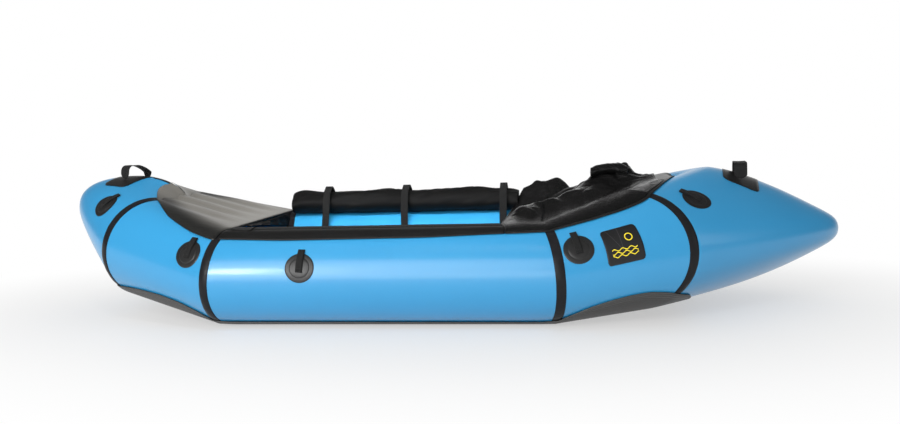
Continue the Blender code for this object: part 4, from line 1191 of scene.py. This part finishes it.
def makeBunch():
    rows = stretchedRows(deckLook, "frontEdge", bunchLook["rows"], bunchLook["wrap"], bunchLook["span"],
                         deckLook["gap"] + deckLook["thick"] + bunchLook["lay"], bunchLook["lift"],
                         bunchLook["start"], bunchLook["end"])
    for r, row in enumerate(rows):
        for k, p in enumerate(row):
            p = clearOfCaps(p, deckLook["gap"] + bunchLook["capGap"])
            row[k] = p.lerp(bunchPoint(p), min(1, k / 10, (len(row) - 1 - k) / 10, (r + 1) / 5))
    bunch = sheetPiece("spray_skirt_bunched", rows, skirtGloss, upward, bunchLook["cloth"],
                       ["spray_skirt_bunch"], even=False)


makeBunch()


# On top of the bunch lies a short flat roll of the skirt's hem

hemLook = {"line": ((0.497, -0.012, 0.420), (0.520, -0.006, 0.430), (0.560, 0.004, 0.434), (0.590, 0.008, 0.431),
                    (0.616, 0.008, 0.420)),
           "wide": 0.030, "high": 0.0185, "turns": 2.2, "perTurn": 34, "first": 0.3, "wind": 0.0042,
           "cloth": 0.0007, "spacing": 0.004, "narrowing": 0.35, "fold": 0.003, "lean": 0.0024}


def makeHemRoll():
    line = smoothLine([Vector(p) for p in hemLook["line"]], hemLook["spacing"], 6)
    rows = []
    for share, middle in zip(spread(0, 1, len(line) - 1), line):
        row = []
        for k in range(int(hemLook["perTurn"] * hemLook["turns"]) + 1):
            turn = hemLook["first"] + k / hemLook["perTurn"]
            across, up = math.cos(2 * math.pi * turn), math.sin(2 * math.pi * turn)
            shrink = hemLook["wind"] * turn
            wide = hemLook["wide"] * (1 - hemLook["narrowing"] * share ** 3) - shrink
            high = hemLook["high"] - shrink * 0.8
            fold = hemLook["fold"] * noise.noise(Vector((share * 7, across * 1.2, up * 1.2)))
            row.append(middle + Vector((hemLook["lean"] * across, (wide + fold) * across, (high + fold) * up)))
        rows.append(row)
    hem = sheetPiece("spray_skirt_hem_roll", rows, skirtGloss, aroundX(sum(line, Vector()) / len(line)),
                     hemLook["cloth"], even=False)


makeHemRoll()
print("bunched skirt made")


# Grab loops on their patches

grabLook = {"width": 0.038, "thick": 0.0022, "high": 0.035, "hinge": 0.010, "corner": 0.020, "patchLength": 0.104,
            "patchCorner": 0.022, "patchThick": 0.0009, "footGap": 0.0019, "footSink": 0.0004, "sag": 0.0016,
            "uneven": 0.0006, "edge": 0.0007, "steps": 13}
grabs = ({"name": "bow_grab_loop", "nose": "bow", "inset": 0.294, "turned": 8.0, "span": 0.150, "patch": 0.230,
          "lean": 0.0},
         {"name": "stern_grab_loop", "nose": "stern", "inset": 0.205, "turned": 22.0, "span": 0.094,
          "patch": 0.200, "lean": 0.034})


def jointNamed(name):
    return next(joint for joint in frame["joints"] if joint["name"] == name)


def capPlace(nose, x, y):
    # station and angle at which a cap's crown has a given x and y
    low, high = 20.0, 160.0
    ring = 4 if nose == "bow" else 1
    for _ in range(32):
        degrees = (low + high) / 2
        share = y / abs(ringPoint(ring, math.radians(degrees)).y)
        station = 5 + share if nose == "bow" else -share
        beyond = hullPoint(station, degrees).x > x
        if beyond == (nose == "bow"):
            low = degrees
        else:
            high = degrees
    return station, degrees


def footPoint(nose, pivot, across, offset):
    # the patch right under a foot, where it is this far fore or aft of the hinge
    x, y = pivot.x + offset, pivot.y
    for _ in range(4):
        found = offHull(*capPlace(nose, x, y), -1, grabLook["footGap"])
        y -= (found - pivot).dot(across) / across.y
    return found


def makeGrabPatch(grab, ahead, across):
    middle = Vector((noses[grab["nose"]]["way"] * (hull["halfLength"] - grab["inset"]), 0, 0))
    half, thick = grab["patch"] / 2, grabLook["patchThick"]
    rows = []
    for k in range(41):
        aside = half * eased(k / 20 - 1)
        reach = cornerReach(grabLook["patchLength"] / 2, grabLook["patchCorner"], half, aside)
        spots = [middle + ahead * (reach * (j / 7 - 1)) + across * aside for j in range(15)]
        rows.append([offHull(*capPlace(grab["nose"], p.x, p.y), -1, thick) for p in spots])
    sheetPiece(f"{grab['name']}_patch_panel", rows, grabPatchFabric, upward, thick,
               [f"{grab['name']}_patch"])


def makeGrabLoop(grab, across):
    name, span = grab["name"], grab["span"]
    pivot = Vector(jointNamed(f"{name}_flop")["pos_m"])
    up = Vector((0, 0, 1))
    wide = across.cross(up)
    crown = grabLook["high"] - grabLook["hinge"]
    corner = min(grabLook["corner"], crown * 0.9)
    bend = [(span / 2 - corner + corner * math.cos(angle), crown - corner + corner * math.sin(angle))
            for angle in spread(0, math.pi / 2, 8)]
    reaches = []
    for way in (1, -1):
        leg = pivot + across * (way * span / 2)
        near = [(footPoint(grab["nose"], leg, across, grabLook["width"] * k / 8) - leg).length for k in range(-6, 7)]
        reaches.append(min(near) - grabLook["footSink"])
    rows, lie = [], []
    for part in spread(-1, 1, grabLook["steps"] - 1):
        offset = grabLook["width"] / 2 * part
        legs = [[(way * span / 2, -math.sqrt(max(0, reach * reach - offset * offset)) * (1 - j / 4))
                 for j in range(4)] for way, reach in zip((1, -1), reaches)]
        path = legs[0] + bend + [(-a, b) for a, b in reversed(bend)] + legs[1][::-1]
        path = [(a - grab["lean"] * max(0, b) / crown if a > 0 else a, b) for a, b in path]
        sag = grabLook["sag"] * (1 - part ** 2)
        rows.append([pivot + across * (a + grabLook["uneven"] * math.sin(b * 160))
                     + up * (b - sag * max(0, 1 - (2 * a / span) ** 2)) + wide * offset for a, b in path])
        run = 0.0
        for (a, b), (lastA, lastB) in zip(path, path[:1] + path):
            run += math.hypot(a - lastA, b - lastB)
            lie.append((offset, run, 0.0))
    loop = sheetPiece(f"{name}_webbing", rows, webbingBlack, lambda p: p - pivot, grabLook["thick"],
                      [name], name, lie=lie)
    softenEdge(loop, grabLook["edge"])


for grab in grabs:
    turned = math.radians(grab["turned"])
    level = Vector((math.sin(turned), math.cos(turned), 0))
    makeGrabPatch(grab, Vector((level.y, -level.x, 0)), level)
    makeGrabLoop(grab, level)
print("grab loops made")


# Valves

valveLook = {"spot": (1.46, 12.0, 1), "boot": 0.040, "barrel": 0.016, "capGap": 0.0005, "capWall": 0.0022,
             "capBottom": 0.0028, "capTop": 0.0173, "capInside": 0.0153, "ribs": 24, "ribDepth": 0.0007,
             "tones": ((0.012, 0.012, 0.013), (0.028, 0.028, 0.030))}


def plasticFinish():
    finish = Finish("valvePlastic", Specular_IOR_Level=0.5)
    grain = finish.cells(finish.place(), 1600.0, 2.0)
    return finish.wear(Base_Color=finish.mix(grain, *valveLook["tones"]), Roughness=0.36 + grain * 0.14,
                       Normal=finish.bump(grain, 0.0002, 0.5))


plasticBlack = plasticFinish()


def turnedPiece(node, profile, base, axis, ribs, depth, steps):
    # a turned cap from (radius, height, ribbed) points, closed on itself
    turn = axis.to_track_quat("Z", "Y").to_matrix()
    points = []
    for radius, height, ribbed in profile:
        for c in range(steps):
            angle = 2 * math.pi * c / steps
            r = radius - (depth * (0.5 - 0.5 * math.cos(ribs * angle)) if ribbed else 0)
            points.append(base + turn @ Vector((r * math.cos(angle), r * math.sin(angle), height)))
    piece = newPiece(f"{node}_grip", points, gridFaces(len(profile), steps, True), plasticBlack, node,
                     [node])
    shape = bmesh.new()
    shape.from_mesh(piece.data)
    bmesh.ops.remove_doubles(shape, verts=shape.verts, dist=1e-7)
    bmesh.ops.recalc_face_normals(shape, faces=shape.faces)
    shape.to_mesh(piece.data)
    shape.free()
    piece.data.set_sharp_from_angle(angle=math.radians(42))


def makeValves():
    discPiece("valve_boot_disc", valveLook["spot"], valveLook["boot"], patchLook["gap"],
              patchLook["gap"] + patchLook["thick"], ["valve_boot"])
    cap = jointNamed("valve_cap_twist")
    inner = valveLook["barrel"] + valveLook["capGap"]
    outer = inner + valveLook["capWall"]
    low, high, inside = valveLook["capBottom"], valveLook["capTop"], valveLook["capInside"]
    turnedPiece("valve_cap", [
        (0.0, inside, 0), (inner, inside, 0), (inner, low, 0), (outer - 0.0004, low, 0), (outer, low + 0.0004, 1),
        (outer, high - 0.0012, 1), (outer - 0.0003, high - 0.0005, 1), (outer - 0.0012, high, 0),
        (outer * 0.62, high, 0), (outer * 0.58, high - 0.0008, 0), (outer * 0.30, high - 0.0008, 0),
        (outer * 0.26, high, 0), (0.0, high, 0)], Vector(cap["pos_m"]), Vector(cap["axis"]).normalized(),
        valveLook["ribs"], valveLook["ribDepth"], 96)
    for node in ("valve_body", "valve_plunger", "seat_valve"):
        frame["nodes"][node].data.materials.clear()
        frame["nodes"][node].data.materials.append(plasticBlack)
    low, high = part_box("seat_valve_cap")
    base = Vector(((low.x + high.x) / 2, (low.y + high.y) / 2, low.z))
    radius, tall = (high.x - low.x) / 2, high.z - low.z
    turnedPiece("seat_valve_cap", [
        (0.0, 0.0, 0), (radius * 0.9, 0.0, 0), (radius, tall * 0.08, 1), (radius, tall * 0.82, 1),
        (radius * 0.95, tall * 0.94, 1), (radius * 0.82, tall, 0), (0.0, tall, 0)], base, Vector((0, 0, 1)),
        14, 0.0006, 70)


makeValves()
print("valves made")


# Seat cushion, blown up as cloth and then drawn in at its two sewn channels

seatLook = {"length": 0.380, "width": 0.300, "height": 0.095, "bottom": 0.0021, "centre": -0.2993,
            "swell": 0.014, "voxel": 0.006, "rounding": 0.030, "channels": (-0.060, 0.060), "channelDepth": 0.011,
            "channelWidth": 0.011, "drawnIn": 0.018, "valveRadius": 0.016,
            "tones": ((0.016, 0.016, 0.018), (0.034, 0.034, 0.037))}
seatFabric = Finish("seatFabric", Specular_IOR_Level=0.45).grained(
    (22.0, 3.0, 0.6), (1200.0, 1.0), (0.6, 0.4, 0.0), seatLook["tones"], (0.0030, 0.5, 0.0003, 0.5), (0.40, 0.16))


def inflate(piece, pressure, frames, cap):
    # Blender's own cloth, blown up without gravity, with each point held within cap of its start
    before = [v.co.copy() for v in piece.data.vertices]
    cloth = piece.modifiers.new("air", "CLOTH")
    cloth.settings.use_pressure = True
    cloth.settings.uniform_pressure_force = pressure
    cloth.settings.effector_weights.gravity = 0
    cloth.settings.quality = 5
    for number in range(1, frames + 1):
        scene.frame_set(number)
    graph = bpy.context.evaluated_depsgraph_get()
    blown = bpy.data.meshes.new_from_object(piece.evaluated_get(graph))
    moved = [v.co.copy() for v in blown.vertices]
    piece.modifiers.clear()
    for vertex, start, end in zip(piece.data.vertices, before, moved):
        step = end - start
        vertex.co = start + step * min(1, cap / max(1e-9, step.length))
    bpy.data.meshes.remove(blown)
    scene.frame_set(1)


def makeSeat():
    swell, bottom, half = seatLook["swell"], seatLook["bottom"], seatLook["width"] / 2
    length, width, height = (seatLook[key] - 2 * swell for key in ("length", "width", "height"))
    middle, top = bottom + swell + height / 2, bottom + seatLook["height"]
    mesh = bpy.data.meshes.new("seat")
    shape = bmesh.new()
    bmesh.ops.create_cube(shape, size=1)
    bmesh.ops.scale(shape, vec=(length, width, height), verts=shape.verts)
    bmesh.ops.translate(shape, vec=(seatLook["centre"], 0, middle), verts=shape.verts)
    bmesh.ops.bevel(shape, geom=list(shape.edges), offset=seatLook["rounding"], segments=4, profile=0.5,
                    affect="EDGES")
    shape.to_mesh(mesh)
    shape.free()
    seat = bpy.data.objects.new("seat_cushion_cover", mesh)
    scene.collection.objects.link(seat)
    voxels = seat.modifiers.new("voxels", "REMESH")
    voxels.mode, voxels.voxel_size = "VOXEL", seatLook["voxel"]
    graph = bpy.context.evaluated_depsgraph_get()
    seat.data = bpy.data.meshes.new_from_object(seat.evaluated_get(graph))
    seat.modifiers.clear()
    inflate(seat, 4.0, 20, swell)
    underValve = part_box("seat_valve")[0].z - 0.0003
    for vertex in seat.data.vertices:
        p = vertex.co
        up = max(0, (p.z - middle) / (top - middle))
        for channel in seatLook["channels"]:
            p.z -= seatLook["channelDepth"] * up * math.exp(-((p.y - channel) / seatLook["channelWidth"]) ** 2)
        # the corners stand out and the sides are drawn in between them
        fromCentre = p.x - seatLook["centre"]
        draw = seatLook["drawnIn"] * math.cos(math.pi * fromCentre / seatLook["length"]) ** 2
        p.y *= 1 - draw / half * (abs(p.y) / half) ** 2
        p.z = max(bottom, min(p.z, top))
        if p.z > middle and math.hypot(fromCentre, p.y) < seatLook["valveRadius"]:
            p.z = min(p.z, underValve)
    seat.data.materials.append(seatFabric)
    seat.data.shade_smooth()
    fine = seat.modifiers.new("fine", "SUBSURF")
    fine.levels = fine.render_levels = 1
    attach(seat, "hull")
    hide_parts("seat_cushion")


makeSeat()
print("seat made")
